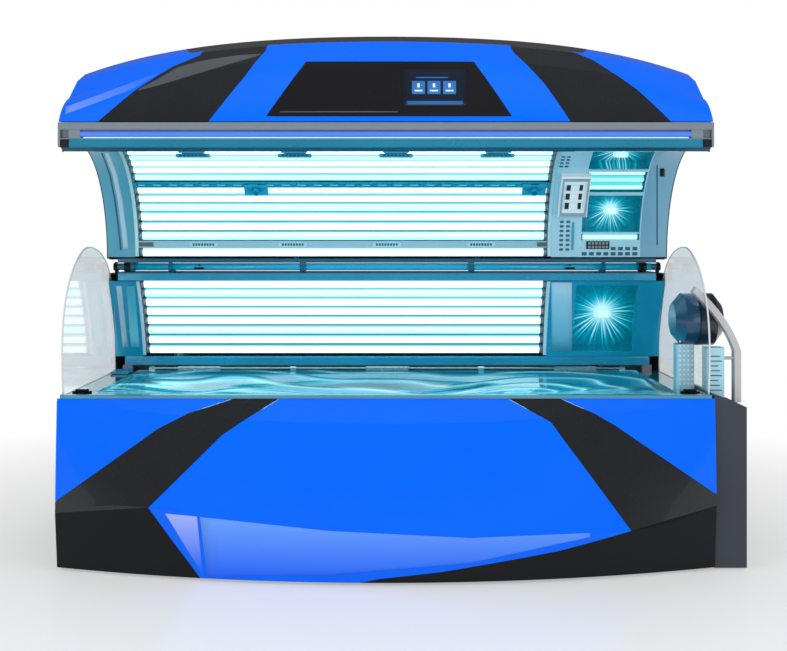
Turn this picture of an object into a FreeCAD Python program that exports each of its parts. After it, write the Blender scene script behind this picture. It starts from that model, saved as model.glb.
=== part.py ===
"""Clamshell tanning bed: base with bench and lamp wall, hinged canopy, head-end blower and side service box.

Millimetres. X runs along the bed (head end at +X), Y to the rear, Z up.
The origin is on the floor, under the middle of the base.
"""
import FreeCAD, Part
import math
import os
from FreeCAD import Vector

os.makedirs("parts", exist_ok=True)

# ---------------------------------------------------------------- driving dimensions
BED_LENGTH = 2340.0
HALF_LENGTH = BED_LENGTH / 2
BENCH_FRONT_Y = -560.0
BENCH_TOP_Z = 622.0
REAR_Y = 560.0
FLOOR_GAP = 10.0
WALL = 4.0
SEAM = 0.9
FIT = 0.3
RUN_GAP = 5.0

# base front: forward bulge at mid length, and heights of its creases
FRONT_TOP_Z = BENCH_TOP_Z - 12.0
UPPER_CREASE_OUT = 60.0
UPPER_CREASE_DROP = 70.0
LOWER_CREASE_OUT = 193.0
FLOOR_EDGE_OUT = 189.0
CREASE_STATIONS = [-HALF_LENGTH, 350.0 - HALF_LENGTH, -300.0, 300.0, HALF_LENGTH - 320.0, HALF_LENGTH]
CREASE_HEIGHTS = [205.0, 250.0, 205.0, 178.0, 168.0, 245.0]

# tunnel
HINGE_Y = 130.0
HINGE_Z = 1063.0
HINGE_TUBE_RADIUS = 14.0
HINGE_PIN_RADIUS = 9.5
ARC_Y = -320.0
ARC_Z = 1100.0
SHEET_RADIUS = 440.0
SHEET_WALL = 3.0
LAMP_RADIUS = 19.0
LAMP_WALL = 1.2
LAMP_ARC_RADIUS = SHEET_RADIUS + SHEET_WALL + LAMP_RADIUS + 4.0
REFLECTOR_RADIUS = LAMP_ARC_RADIUS + LAMP_RADIUS + 5.0
REFLECTOR_WALL = 2.0
END_WALL_X = HALF_LENGTH - 10.0
LAMP_LEFT_X = -(END_WALL_X - 115.0)
LAMP_RIGHT_X = END_WALL_X - 480.0
HEAD_LEFT_X = END_WALL_X - 360.0
HEAD_RIGHT_X = END_WALL_X - 110.0
SOCKET = 14.0
LAMP_STEP = 5.2

# lower rear wall, its top and bottom points, and how far its middle bows back
WALL_TOP = (130.0, 1003.0)
WALL_BOTTOM = (268.0, 677.0)
WALL_BOW = 16.0
WALL_LAMPS = 8
WALL_RAIL_Z = 640.0
WALL_DEPTH = 2 * LAMP_RADIUS + 10.0

# bench
BENCH_REAR_Y = 246.0
BENCH_HALF = END_WALL_X - 105.0
DECK_GAP = 6.0
BENCH_SHEET = 6.0
LATCH_X = END_WALL_X - 60.0
LATCH_Y = BENCH_FRONT_Y + 70.0
LATCH_HALF = 36.0
LATCH_RADIUS = 12.0
BENCH_LAMPS = 15
BENCH_LAMP_PITCH = 48.0
BENCH_LAMP_Z = 490.0
BENCH_TRAY_Z = BENCH_LAMP_Z - LAMP_RADIUS - 12.0
BENCH_HINGE_Z = BENCH_TOP_Z + 6.0
BENCH_HINGE_RADIUS = 4.0
BENCH_STATIONS = [-BENCH_HALF, 355.0 - BENCH_HALF, 0.0, BENCH_HALF - 415.0, BENCH_HALF - 215.0, BENCH_HALF]
BENCH_DIPS = [14.0, 52.0, 78.0, 38.0, 22.0, 30.0]

# canopy outside
LIP_Z = 1597.0
LIP_Y = -560.0
RAIL_BOTTOM_Z = 1505.0
BROW_Y = -430.0
BROW_Z = 1840.0
CROWN_Y = -210.0
CROWN_Z = 1960.0
CANOPY_REAR_Y = 450.0
CANOPY_HALF = HALF_LENGTH - 5.0
CROWN_DROP = 155.0
CROWN_DROP_SPAN = HALF_LENGTH + 20.0
CROWN_DROP_POWER = 2.6
BAND_FRONT_Y = -300.0
BAND_REAR_Y = -150.0

CANOPY_BOTTOM_Z = 1092.0
RAIL_BACK_Y = LIP_Y + 22.0

# canopy lamps and strips, degrees about the arc centre
SHEET_START = 0.4
SHEET_END = 117.0
AIR_ANGLE = 41.7
VENT_ANGLE = 7.3
LAMP_ANGLES = [3.0]
LAMP_ANGLES += [11.5 + LAMP_STEP * i for i in range(6)]
LAMP_ANGLES += [46.0 + LAMP_STEP * i for i in range(14)]

# head end of the canopy
HEAD_WINDOWS = [(54.0, 72.0), (37.5, 52.0), (14.0, 35.5), (9.6, 13.2)]
HEAD_TUBE_ANGLES = [49.5, 44.6, 39.7, 11.0]
POD_LEFT_X = LAMP_RIGHT_X + 20.0
POD_RIGHT_X = HEAD_LEFT_X + 20.0
POD_START = 23.5
POD_END = 51.0
POD_DEPTH = 26.0
KEY_DEPTH = 4.0
KEY_TRAVEL = 1.5
KEYS = {"key_lamps": 31.0, "key_fan": 37.2, "key_start": 43.4}

# end fins, blower and service box
DECK_TOP_Z = BENCH_TOP_Z - 4.0
FIN_X = END_WALL_X - 10.0
FIN_WALL = 6.0
BLOWER_Y = -350.0
BLOWER_Z = 878.0
BLOWER_RADIUS = 97.0
BLOWER_DUCT_RADIUS = 50.0
BOX_RIGHT_X = HALF_LENGTH + 116.0
BOX_FRONT_Y = -556.0
BOX_REAR_Y = -60.0
BOX_TOP_Z = 578.0
BOX_SLOPE = 50.0 / (BOX_RIGHT_X - END_WALL_X - FIT)
ARCH_Y = -490.0
ARCH_DEPTH = 40.0
ARCH_WIDTH = 24.0
PANEL_RIGHT_X = BOX_RIGHT_X - 64.0

# lift
LEVER_X = END_WALL_X - 260.0
LEVER_WIDTH = 12.0
LIFT_OFFSET = 221.0
LIFT_SLOT_GAP = 2.5
LIFT_PIN_RADIUS = 6.0
LIFT_ROD_RADIUS = 10.0
LIFT_CYLINDER_RADIUS = 22.0
CANOPY_TRAVEL = 45.0
HALF_TRAVEL = CANOPY_TRAVEL / 2
LIFT_Y = HINGE_Y + LIFT_OFFSET
LIFT_PIN_Z = HINGE_Z - LIFT_OFFSET * math.tan(math.radians(HALF_TRAVEL))
LIFT_STROKE = 2 * (HINGE_Z - LIFT_PIN_Z)

# base frame
TUBE = 40.0
TUBE_WALL = 3.0
FRAME_X = END_WALL_X - 50.0
FRAME_FRONT_Y = -500.0
FRAME_REAR_Y = 500.0
FRAME_BOTTOM_Z = 40.0
DECK_Z = 606.0
HOLDER_Z = 480.0
REAR_TOP_Z = 1035.0
REAR_BEND = 40.0
COVER_WALL = 3.0
FAN_X = 420.0
FAN_Z = 330.0
FAN_RADIUS = 98.0

nodes = {}


# ---------------------------------------------------------------- helpers
def box(x0, x1, y0, y1, z0, z1):
    return Part.makeBox(x1 - x0, y1 - y0, z1 - z0, Vector(x0, y0, z0))


def prism(corners, axis, start, end):
    """Polygon swept along an axis; corners are (y, z), (x, z) or (x, y) pairs for axis x, y or z."""
    place = {
        "x": lambda a, b: Vector(start, a, b),
        "y": lambda a, b: Vector(a, start, b),
        "z": lambda a, b: Vector(a, b, start),
    }[axis]
    way = {"x": Vector(1, 0, 0), "y": Vector(0, 1, 0), "z": Vector(0, 0, 1)}[axis]
    points = [place(a, b) for a, b in corners]
    face = Part.Face(Part.makePolygon(points + points[:1]))
    return face.extrude(way * (end - start))


def rod(radius, start, end):
    way = end - start
    return Part.makeCylinder(radius, way.Length, start, way)


def rod_x(radius, x0, x1, y, z):
    return rod(radius, Vector(x0, y, z), Vector(x1, y, z))


def tube_x(outer, inner, x0, x1, y, z):
    return rod_x(outer, x0, x1, y, z).cut(rod_x(inner, x0 - 1, x1 + 1, y, z))


def many_sided(radius, a, b, sides=12):
    """Corners of a regular polygon, for small round pieces that repeat many times."""
    turns = [2 * math.pi * i / sides for i in range(sides)]
    return [(a + radius * math.cos(turn), b + radius * math.sin(turn)) for turn in turns]


def lamp(x0, x1, y, z, radius=LAMP_RADIUS):
    """Fluorescent tube: a thin glass wall, open at the ends where its sockets close it."""
    glass = prism(many_sided(radius, y, z), "x", x0, x1)
    return glass.cut(prism(many_sided(radius - LAMP_WALL, y, z), "x", x0 - 1, x1 + 1))


def join(shapes):
    shapes = list(shapes)
    return shapes[0].multiFuse(shapes[1:]) if len(shapes) > 1 else shapes[0]


def group(shapes):
    return Part.makeCompound(list(shapes))


def arc_point(radius, degrees):
    """(y, z) on a circle about the canopy arc centre; 0 degrees points to the rear, 90 up."""
    turn = math.radians(degrees)
    return (ARC_Y + radius * math.cos(turn), ARC_Z + radius * math.sin(turn))


def arc_band(inner, outer, start, end, x0, x1):
    """Curved strip between two radii about the canopy arc centre."""
    def corner(radius, degrees):
        return Vector(x0, *arc_point(radius, degrees))
    middle = (start + end) / 2
    edges = [
        Part.Arc(corner(inner, start), corner(inner, middle), corner(inner, end)).toShape(),
        Part.makeLine(corner(inner, end), corner(outer, end)),
        Part.Arc(corner(outer, end), corner(outer, middle), corner(outer, start)).toShape(),
        Part.makeLine(corner(outer, start), corner(inner, start)),
    ]
    return Part.Face(Part.Wire(edges)).extrude(Vector(x1 - x0, 0, 0))


def inward(path, distance):
    """Open (y, z) path moved to its right-hand side by a distance, with mitred corners."""
    moved = []
    for i, (y, z) in enumerate(path):
        normals = []
        for a, b in ((i - 1, i), (i, i + 1)):
            if a >= 0 and b < len(path):
                dy = path[b][0] - path[a][0]
                dz = path[b][1] - path[a][1]
                size = math.hypot(dy, dz)
                normals.append((dz / size, -dy / size))
        ny = sum(n[0] for n in normals) / len(normals)
        nz = sum(n[1] for n in normals) / len(normals)
        stretch = distance / (ny * ny + nz * nz)
        moved.append((y + ny * stretch, z + nz * stretch))
    return moved


def edge_through(x, points):
    spots = [Vector(x, y, z) for y, z in points]
    if len(spots) == 2:
        return Part.makeLine(*spots)
    curve = Part.BSplineCurve()
    curve.interpolate(spots)
    return curve.toShape()


def skin_section(x, path, breaks, distance):
    """Closed wire of a thin wall at one station; breaks are the indices where an edge ends."""
    inner = inward(path, distance)
    spans = list(zip(breaks[:-1], breaks[1:]))
    edges = [edge_through(x, path[a:b + 1]) for a, b in spans]
    edges.append(edge_through(x, [path[-1], inner[-1]]))
    edges += [edge_through(x, inner[a:b + 1][::-1]) for a, b in reversed(spans)]
    edges.append(edge_through(x, [inner[0], path[0]]))
    return Part.Wire(edges)


def skin(stations, path_at, breaks, distance):
    return Part.makeLoft([skin_section(x, path_at(x), breaks, distance) for x in stations], True, False)


def seam_cutter(line, axis, start, end):
    """Thin walls along a polyline, used to part one skin into panels."""
    cutters = []
    for (a0, b0), (a1, b1) in zip(line[:-1], line[1:]):
        length = math.hypot(a1 - a0, b1 - b0)
        ua = (a1 - a0) / length
        ub = (b1 - b0) / length
        half = SEAM / 2
        a0, b0 = a0 - ua * half, b0 - ub * half
        a1, b1 = a1 + ua * half, b1 + ub * half
        corners = [
            (a0 - ub * half, b0 + ua * half),
            (a1 - ub * half, b1 + ua * half),
            (a1 + ub * half, b1 - ua * half),
            (a0 + ub * half, b0 - ua * half),
        ]
        cutters.append(prism(corners, axis, start, end))
    return cutters


def panel_at(pieces, start, end):
    """The piece that a straight probe meets."""
    probe = Part.makeLine(start, end)
    return min(pieces, key=lambda piece: piece.distToShape(probe)[0])


def between(x, knots, values):
    """Linear value between knots."""
    for a, b, va, vb in zip(knots[:-1], knots[1:], values[:-1], values[1:]):
        if x <= b:
            return va + (vb - va) * (x - a) / (b - a)
    return values[-1]


# ---------------------------------------------------------------- base front skin
def base_bulge(x):
    return 1.0 - (x / HALF_LENGTH) ** 2


def base_front_path(x):
    bulge = base_bulge(x)
    crease = between(x, CREASE_STATIONS, CREASE_HEIGHTS)
    top = (BENCH_FRONT_Y, FRONT_TOP_Z)
    upper = (BENCH_FRONT_Y - 5 - UPPER_CREASE_OUT * bulge, FRONT_TOP_Z - 10 - UPPER_CREASE_DROP * bulge)
    lower = (BENCH_FRONT_Y - 27 - LOWER_CREASE_OUT * bulge, crease)
    belly = ((upper[0] + lower[0]) / 2 - 8 * bulge - 2, (upper[1] + lower[1]) / 2)
    floor = (BENCH_FRONT_Y - 2 - FLOOR_EDGE_OUT * bulge, FLOOR_GAP)
    # listed from the floor up, so that the inside lies to the right
    return [floor, lower, belly, upper, top]


def build_base_front():
    whole = skin(CREASE_STATIONS, base_front_path, [0, 1, 3, 4], WALL)
    crease_left = CREASE_HEIGHTS[0]
    crease_kink = (CREASE_STATIONS[1], CREASE_HEIGHTS[1])
    crease_low = (CREASE_STATIONS[4], CREASE_HEIGHTS[4])
    past = HALF_LENGTH + 30
    over = FRONT_TOP_Z + 30
    seams = [
        [(-past, crease_left + 22), (-800, 511), (-694, 564), (-441, over)],
        [(-324, over), (-490, 546), (-573, 492), crease_kink, (-615, -20)],
        [(-past, crease_left), crease_kink],
        [(374, over), (580, 535), (607, 497), crease_low],
        [(548, over), (737, 561), (810, 519), (past, CREASE_HEIGHTS[5] + 8)],
        [crease_low, (past, CREASE_HEIGHTS[5] - 4)],
        [crease_low, (594, 110), (188, 47), (-19, 24), (-240, -20)],
    ]
    cutters = []
    for line in seams:
        cutters += seam_cutter(line, "y", BENCH_FRONT_Y - 300, BENCH_FRONT_Y + 60)
    pieces = whole.cut(group(cutters)).Solids
    spots = {
        "base_panel_center": [(0, 300)],
        "base_panel_sides": [(-1000, 500), (1000, 520)],
        "base_stripes": [(-760, 400), (850, 350)],
        "kick_panels": [(-950, 100), (900, 90)],
    }
    for name, places in spots.items():
        nodes[name] = group([panel_at(pieces, Vector(x, -1500, z), Vector(x, 0, z)) for x, z in places])


# ---------------------------------------------------------------- lower rear wall path
def wall_point(share, offset=0.0):
    """(y, z) along the lower wall, share 0 at the top and 1 at the bottom; offset goes to the rear."""
    y = WALL_TOP[0] + (WALL_BOTTOM[0] - WALL_TOP[0]) * share
    z = WALL_TOP[1] + (WALL_BOTTOM[1] - WALL_TOP[1]) * share
    length = math.hypot(WALL_BOTTOM[0] - WALL_TOP[0], WALL_BOTTOM[1] - WALL_TOP[1])
    back_y = (WALL_TOP[1] - WALL_BOTTOM[1]) / length
    back_z = (WALL_BOTTOM[0] - WALL_TOP[0]) / length
    depth = offset + WALL_BOW * 4 * share * (1 - share)
    return (y + back_y * depth, z + back_z * depth)


def wall_band(front, back, start, end, x0, x1):
    """Curved strip that follows the lower wall."""
    middle = (start + end) / 2
    def spot(share, offset):
        return Vector(x0, *wall_point(share, offset))
    edges = [
        Part.Arc(spot(start, front), spot(middle, front), spot(end, front)).toShape(),
        Part.makeLine(spot(end, front), spot(end, back)),
        Part.Arc(spot(end, back), spot(middle, back), spot(start, back)).toShape(),
        Part.makeLine(spot(start, back), spot(start, front)),
    ]
    return Part.Face(Part.Wire(edges)).extrude(Vector(x1 - x0, 0, 0))


# ---------------------------------------------------------------- base frame, feet and covers
def square_tube(axis, start, end, a, b):
    """Hollow square tube centred on (a, b) across its axis."""
    def block(size, grow):
        half = size / 2
        corners = [(a - half, b - half), (a + half, b - half), (a + half, b + half), (a - half, b + half)]
        return prism(corners, axis, start - grow, end + grow)
    return block(TUBE, 0).cut(block(TUBE - 2 * TUBE_WALL, 1))


def build_frame():
    half = TUBE / 2
    low = FRAME_BOTTOM_Z + half
    deck_rail = DECK_Z - half
    holder_rail = HOLDER_Z - half
    lift_rail = 620.0
    tubes = []
    for y in (FRAME_FRONT_Y, FRAME_REAR_Y):
        tubes.append(square_tube("x", -FRAME_X + half, FRAME_X - half, y, low))
    tubes.append(square_tube("x", -FRAME_X + half, FRAME_X - half, FRAME_FRONT_Y, deck_rail - 44))
    tubes.append(square_tube("x", -FRAME_X + half, FRAME_X - half, FRAME_REAR_Y, lift_rail))
    for x in (-FRAME_X, FRAME_X):
        tubes.append(square_tube("z", FRAME_BOTTOM_Z, DECK_Z, x, FRAME_FRONT_Y))
        tubes.append(square_tube("z", FRAME_BOTTOM_Z, 960.0, x, FRAME_REAR_Y))
        tubes.append(square_tube("z", DECK_Z - TUBE_WALL, WALL_RAIL_Z - FIT, x, WALL_BOTTOM[0] + 16))
        for z in (low, holder_rail, deck_rail):
            tubes.append(square_tube("y", FRAME_FRONT_Y + half, FRAME_REAR_Y - half, x, z))
    for x in (-LEVER_X, LEVER_X):
        tubes.append(square_tube("y", LIFT_Y - half, FRAME_REAR_Y - half, x, lift_rail))
        tubes.append(square_tube("y", FRAME_FRONT_Y + half, FRAME_REAR_Y - half, x, low))
    tubes.append(square_tube("y", FRAME_FRONT_Y + half, FRAME_REAR_Y - half, 0.0, low))
    tubes.append(square_tube("x", -FRAME_X + half, FRAME_X - half, BENCH_REAR_Y + 4, deck_rail - 6))
    for y in (-400.0, 130.0):
        tubes.append(square_tube("x", -FRAME_X + half, FRAME_X - half, y, BENCH_TRAY_Z - REFLECTOR_WALL - half))
    nodes["base_frame"] = join(tubes)

    spots = [(x, y) for x in (-FRAME_X, 0.0, FRAME_X) for y in (FRAME_FRONT_Y, FRAME_REAR_Y)] + [(0.0, 0.0)]
    pan = box(-FIN_X, FIN_X, -530, 540, FRAME_BOTTOM_Z - COVER_WALL, FRAME_BOTTOM_Z)
    feet = []
    for x, y in spots:
        pad = prism(many_sided(30, x, y), "z", 0, 8)
        stem = prism(many_sided(8, x, y), "z", 8, FRAME_BOTTOM_Z)
        nut = prism(many_sided(14, x, y, 6), "z", 14, 24)
        feet.append(join([pad, stem, nut]))
        pan = pan.cut(prism(many_sided(8 + FIT, x, y), "z", 0, FRAME_BOTTOM_Z + 1))
    nodes["leveling_feet"] = group(feet)
    nodes["floor_pan"] = pan


def lever_slots():
    """Room for the lift levers where they pass the housing top."""
    width = LEVER_WIDTH + 2 * RUN_GAP + 18
    return group([box(x - width / 2, x + width / 2, HINGE_Y + 8, LIFT_Y + 60, 900, 1100)
                  for x in (-LEVER_X, LEVER_X)])


def build_rear_cover():
    path = [
        (HINGE_Y + 34 + FIT, REAR_TOP_Z),
        (REAR_Y - REAR_BEND, REAR_TOP_Z),
        (REAR_Y - REAR_BEND * 0.29, REAR_TOP_Z - REAR_BEND * 0.29),
        (REAR_Y, REAR_TOP_Z - REAR_BEND),
        (REAR_Y, FLOOR_GAP),
    ]
    cover = Part.Face(skin_section(2 - HALF_LENGTH, path, [0, 1, 2, 3, 4], COVER_WALL)).extrude(Vector(BED_LENGTH - 4, 0, 0))
    cutters = [lever_slots()]
    slot = 8.0
    for column in (HALF_LENGTH - 1930.0, HALF_LENGTH - 1650.0, HALF_LENGTH - 390.0):
        for row in range(10):
            z = 760.0 + row * 22.0
            cutters.append(box(column - 100, column + 100, REAR_Y - 10, REAR_Y + 5, z, z + slot))
    for i in range(-4, 5):
        x = FAN_X + i * 20.0
        reach = math.sqrt((FAN_RADIUS - 6) ** 2 - (i * 20.0) ** 2)
        cutters.append(box(x - slot / 2, x + slot / 2, REAR_Y - 10, REAR_Y + 5, FAN_Z - reach, FAN_Z + reach))
    nodes["base_rear_cover"] = cover.cut(group(cutters))


def build_end_covers():
    front = inward(base_front_path(HALF_LENGTH), WALL + FIT)
    rear = REAR_Y - COVER_WALL - FIT
    top = REAR_TOP_Z - COVER_WALL - FIT
    wall = [wall_point(share, 12) for share in (1.0, 0.75, 0.5, 0.25, 0.05)]
    outline = front[:-1] + [(front[-1][0], DECK_Z - FIT), (WALL_BOTTOM[0] - 14, DECK_Z - FIT)]
    outline += wall + [(HINGE_Y + 36, top), (rear - REAR_BEND, top), (rear, top - REAR_BEND), (rear, FLOOR_GAP)]
    nodes["base_end_covers"] = group([prism(outline, "x", x, x + 4) for x in (-HALF_LENGTH + 4, HALF_LENGTH - 8)])


def build_bench():
    front = BENCH_FRONT_Y
    trim = [
        (front - 2, FRONT_TOP_Z),
        (front - 2, BENCH_TOP_Z - 2),
        (front + 1, BENCH_TOP_Z),
        (front + 30, BENCH_TOP_Z),
        (front + 30, DECK_Z),
        (front + WALL + 3, DECK_Z),
        (front + WALL + 3, FRONT_TOP_Z),
    ]
    nodes["bench_front_trim"] = prism(trim, "x", -END_WALL_X, END_WALL_X)

    sheet_front = front + 30 + DECK_GAP
    sheet_rear = BENCH_REAR_Y - 10.5

    def bench_path(x):
        dip = between(x, BENCH_STATIONS, BENCH_DIPS)
        depth = sheet_rear - sheet_front
        shares = (0.0, 0.04, 0.18, 0.5, 0.82, 0.96, 1.0)
        falls = (0.0, 0.03, 0.5, 1.0, 0.5, 0.03, 0.0)
        return [(sheet_front + depth * a, BENCH_TOP_Z - dip * f) for a, f in zip(shares, falls)]

    nodes["bench_sheet"] = skin(BENCH_STATIONS, bench_path, [0, 6], BENCH_SHEET)

    leaf = []
    for x in (255.0 - BENCH_HALF, 0.0, BENCH_HALF - 255.0):
        knuckle = tube_x(BENCH_HINGE_RADIUS + 4, BENCH_HINGE_RADIUS + FIT, x - 90, x + 90, BENCH_REAR_Y, BENCH_HINGE_Z)
        plate = box(x - 90, x + 90, sheet_rear + 4 * FIT, BENCH_REAR_Y - 3.0, BENCH_HINGE_Z - 16, BENCH_HINGE_Z - 3)
        plate = plate.cut(rod_x(BENCH_HINGE_RADIUS + FIT, x - 91, x + 91, BENCH_REAR_Y, BENCH_HINGE_Z))
        leaf.append(knuckle.fuse(plate))
    nodes["bench_hinge_leaves"] = group(leaf)

    ears = []
    ear = BENCH_HINGE_RADIUS + 4
    for x in (55.0 - BENCH_HALF, -400.0, 400.0, BENCH_HALF - 55.0):
        side = [(BENCH_REAR_Y - ear, DECK_Z - 6), (BENCH_REAR_Y + ear, DECK_Z - 6),
                (BENCH_REAR_Y + ear, BENCH_HINGE_Z + 3), (BENCH_REAR_Y + 3, BENCH_HINGE_Z + ear),
                (BENCH_REAR_Y - 3, BENCH_HINGE_Z + ear), (BENCH_REAR_Y - ear, BENCH_HINGE_Z + 3)]
        ears.append(prism(side, "x", x - 12, x + 12))
    pin = rod_x(BENCH_HINGE_RADIUS, 43 - BENCH_HALF, BENCH_HALF - 43, BENCH_REAR_Y, BENCH_HINGE_Z)
    nodes["bench_hinge_rod"] = join(ears + [pin])

    decks = []
    for side in (-1, 1):
        inner = side * (BENCH_HALF + DECK_GAP)
        outer = side * END_WALL_X
        x0, x1 = sorted((inner, outer))
        deck = box(x0, x1, front + 30 + FIT, WALL_BOTTOM[0] - 20, DECK_Z, BENCH_TOP_Z - 4)
        pivot = Vector(side * LATCH_X, LATCH_Y, DECK_Z - 30)
        decks.append(deck.cut(rod(5 + FIT, pivot, pivot + Vector(0, 0, 60))))
    nodes["end_decks"] = group(decks)

    for name, side in (("bench_latch_left", -1), ("bench_latch_right", 1)):
        center = Vector(side * LATCH_X, LATCH_Y, DECK_TOP_Z + FIT)
        half = LATCH_HALF - LATCH_RADIUS
        ends = [rod(LATCH_RADIUS, Vector(x, 0, 0), Vector(x, 0, 9)) for x in (-half, half)]
        cap = join([box(-half, half, -LATCH_RADIUS, LATCH_RADIUS, 0, 9)] + ends)
        grip = box(-half, half, -3, 3, 9, 16)
        stem = rod(5, Vector(0, 0, -16 - FIT), Vector(0, 0, 0))
        latch = join([cap, grip, stem])
        latch.translate(center)
        nodes[name] = latch

    start_y = (sheet_front + sheet_rear) / 2 - BENCH_LAMP_PITCH * (BENCH_LAMPS - 1) / 2
    rows = [start_y + BENCH_LAMP_PITCH * i for i in range(BENCH_LAMPS)]
    lamp_end = BENCH_HALF - 15.0
    nodes["bench_lamps"] = group([lamp(-lamp_end, lamp_end, y, BENCH_LAMP_Z) for y in rows])
    holders = []
    for side in (-1, 1):
        x0, x1 = sorted((side * (lamp_end + FIT), side * (lamp_end + 4)))
        wall = box(x0, x1, rows[0] - 24, rows[-1] + 24, HOLDER_Z - 20, HOLDER_Z + 34)
        x0, x1 = sorted((side * (lamp_end + 3), side * (FRAME_X + 18)))
        foot = box(x0, x1, FRAME_FRONT_Y + TUBE / 2 + FIT, rows[-1] + 24, HOLDER_Z, HOLDER_Z + 3)
        holders.append(wall.fuse(foot))
    nodes["base_lamp_holders"] = group(holders)
    tray_z = BENCH_TRAY_Z
    front_y = rows[0] - 26
    rear_y = rows[-1] + 26
    tray = [(front_y - 30, tray_z + 70), (front_y, tray_z), (rear_y, tray_z), (rear_y + 18, tray_z + 70)]
    face = Part.Face(skin_section(4 - lamp_end, tray, [0, 1, 2, 3], REFLECTOR_WALL))
    nodes["base_reflectors"] = group([face.extrude(Vector(2 * lamp_end - 8, 0, 0))])


def build_lower_wall():
    left = LAMP_LEFT_X
    right = LAMP_RIGHT_X
    socket = SOCKET
    centres = [wall_point((i + 0.5) / WALL_LAMPS, LAMP_RADIUS + 5) for i in range(WALL_LAMPS)]
    nodes["wall_lamps"] = group([lamp(left + socket, right - socket, y, z) for y, z in centres])
    nodes["base_lamp_holders"] = group(nodes["base_lamp_holders"].Solids + [
        wall_band(COVER_WALL + FIT, WALL_DEPTH - FIT, 0.01, 0.99, left, left + socket - FIT),
        wall_band(COVER_WALL + FIT, WALL_DEPTH - FIT, 0.01, 0.99, right - socket + FIT, right),
    ])
    bank = wall_band(WALL_DEPTH, WALL_DEPTH + REFLECTOR_WALL, 0.01, 1.0, left, right)
    nodes["base_reflectors"] = group(nodes["base_reflectors"].Solids + [bank])
    cheek = wall_band(0, COVER_WALL, 0.0, 1.0, -END_WALL_X, left - FIT)
    window_left = HEAD_LEFT_X - 10
    window_right = HEAD_RIGHT_X - 5
    panel = wall_band(0, COVER_WALL, 0.0, 1.0, right + FIT, END_WALL_X)
    window = wall_band(-20, 30, 0.06, 0.94, window_left, window_right)
    nodes["wall_cheeks"] = group([cheek, panel.cut(window)])
    nodes["wall_facial_glass"] = wall_band(0, COVER_WALL, 0.062, 0.938, window_left + 0.6, window_right - 0.6)
    dish = wall_band(COVER_WALL + FIT, 62, 0.04, 0.96, window_left - 12, window_right + 12)
    hollow = wall_band(COVER_WALL, 58, 0.055, 0.945, window_left - 8, window_right + 8)
    y, z = wall_point(0.5, 34)
    middle = (window_left + window_right) / 2
    bulb = rod_x(13, middle - 32, middle + 32, y, z)
    base_y, base_z = wall_point(0.5, 58 - FIT)
    neck = rod(9, Vector(middle, y, z), Vector(middle, base_y, base_z))
    nodes["wall_facial_lamp"] = group([dish.cut(hollow), bulb.fuse(neck)])

    foot_y = WALL_BOTTOM[0] - 6
    low = WALL_RAIL_Z
    high = WALL_BOTTOM[1] - FIT
    rail = [(foot_y, low), (foot_y, high - 6), (foot_y + 4, high), (foot_y + 34, high), (foot_y + 34, high - 6),
            (foot_y + 6, high - 6), (foot_y + 6, low + 6), (foot_y + 34, low + 6), (foot_y + 34, low)]
    top = [(118, 1006), (118, 1034), (121, 1037), (164, 1037), (164, 1033), (125, 1033), (125, 1006)]
    rail_end = FRAME_X + 10
    cap_end = FRAME_X + 6
    nodes["wall_rails"] = group([
        prism(rail, "x", -rail_end, rail_end),
        prism(top, "x", -cap_end, cap_end).cut(lever_slots()),
    ])


def build_hinge_fixed():
    plates = []
    pins = []
    for side in (-1, 1):
        x0, x1 = sorted((side * (FRAME_X + 12), side * (FRAME_X + 20)))
        post_y = FRAME_REAR_Y - TUBE / 2 - FIT
        arm = [(120, 1048), (120, 1070), (150, 1070), (161, 1052), (161, 1022), (300, 962), (post_y, 962),
               (post_y, 900), (300, 900), (152, 1004)]
        plate = prism(arm, "x", x0, x1).fuse(rod_x(20, x0, x1, HINGE_Y, HINGE_Z))
        plates.append(plate.cut(rod_x(HINGE_PIN_RADIUS + FIT, x0 - 1, x1 + 1, HINGE_Y, HINGE_Z)))
        pin = rod_x(HINGE_PIN_RADIUS, *sorted((side * (FRAME_X - 40), side * (FRAME_X + 22))), HINGE_Y, HINGE_Z)
        head = rod_x(15, *sorted((side * (FRAME_X + 20 + FIT), side * (FRAME_X + 25))), HINGE_Y, HINGE_Z)
        pins.append(pin.fuse(head))
    nodes["hinge_brackets"] = group(plates + pins)


def build_lift():
    foot_z = 640.0
    top_z = LIFT_PIN_Z - 46
    cylinders = []
    rods = []
    for x in (-LEVER_X, LEVER_X):
        barrel = rod(LIFT_CYLINDER_RADIUS, Vector(x, LIFT_Y, foot_z), Vector(x, LIFT_Y, top_z))
        bore = rod(LIFT_ROD_RADIUS + FIT, Vector(x, LIFT_Y, foot_z + 20), Vector(x, LIFT_Y, top_z + 1))
        collar = rod(LIFT_CYLINDER_RADIUS + 6, Vector(x, LIFT_Y, foot_z), Vector(x, LIFT_Y, foot_z + 8))
        motor = box(x - 30, x + 30, LIFT_Y + LIFT_CYLINDER_RADIUS - 4, LIFT_Y + 78, foot_z + 20, foot_z + 90)
        cylinders.append(join([barrel, collar, motor]).cut(bore))
        shaft = rod(LIFT_ROD_RADIUS, Vector(x, LIFT_Y, foot_z + 40), Vector(x, LIFT_Y, LIFT_PIN_Z - 34))
        inner = LEVER_WIDTH / 2 + 2
        outer = inner + 5
        fork = box(x - outer, x + outer, LIFT_Y - 10, LIFT_Y + 10, LIFT_PIN_Z - 40, LIFT_PIN_Z + 10)
        fork = fork.cut(box(x - inner, x + inner, LIFT_Y - 30, LIFT_Y + 30, LIFT_PIN_Z - 32, LIFT_PIN_Z + 30))
        pin = rod_x(LIFT_PIN_RADIUS, x - outer - 2, x + outer + 2, LIFT_Y, LIFT_PIN_Z)
        rods.append(join([shaft, fork, pin]))
    nodes["lift_cylinders"] = group(cylinders)
    nodes["lift_rods"] = group(rods)


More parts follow.
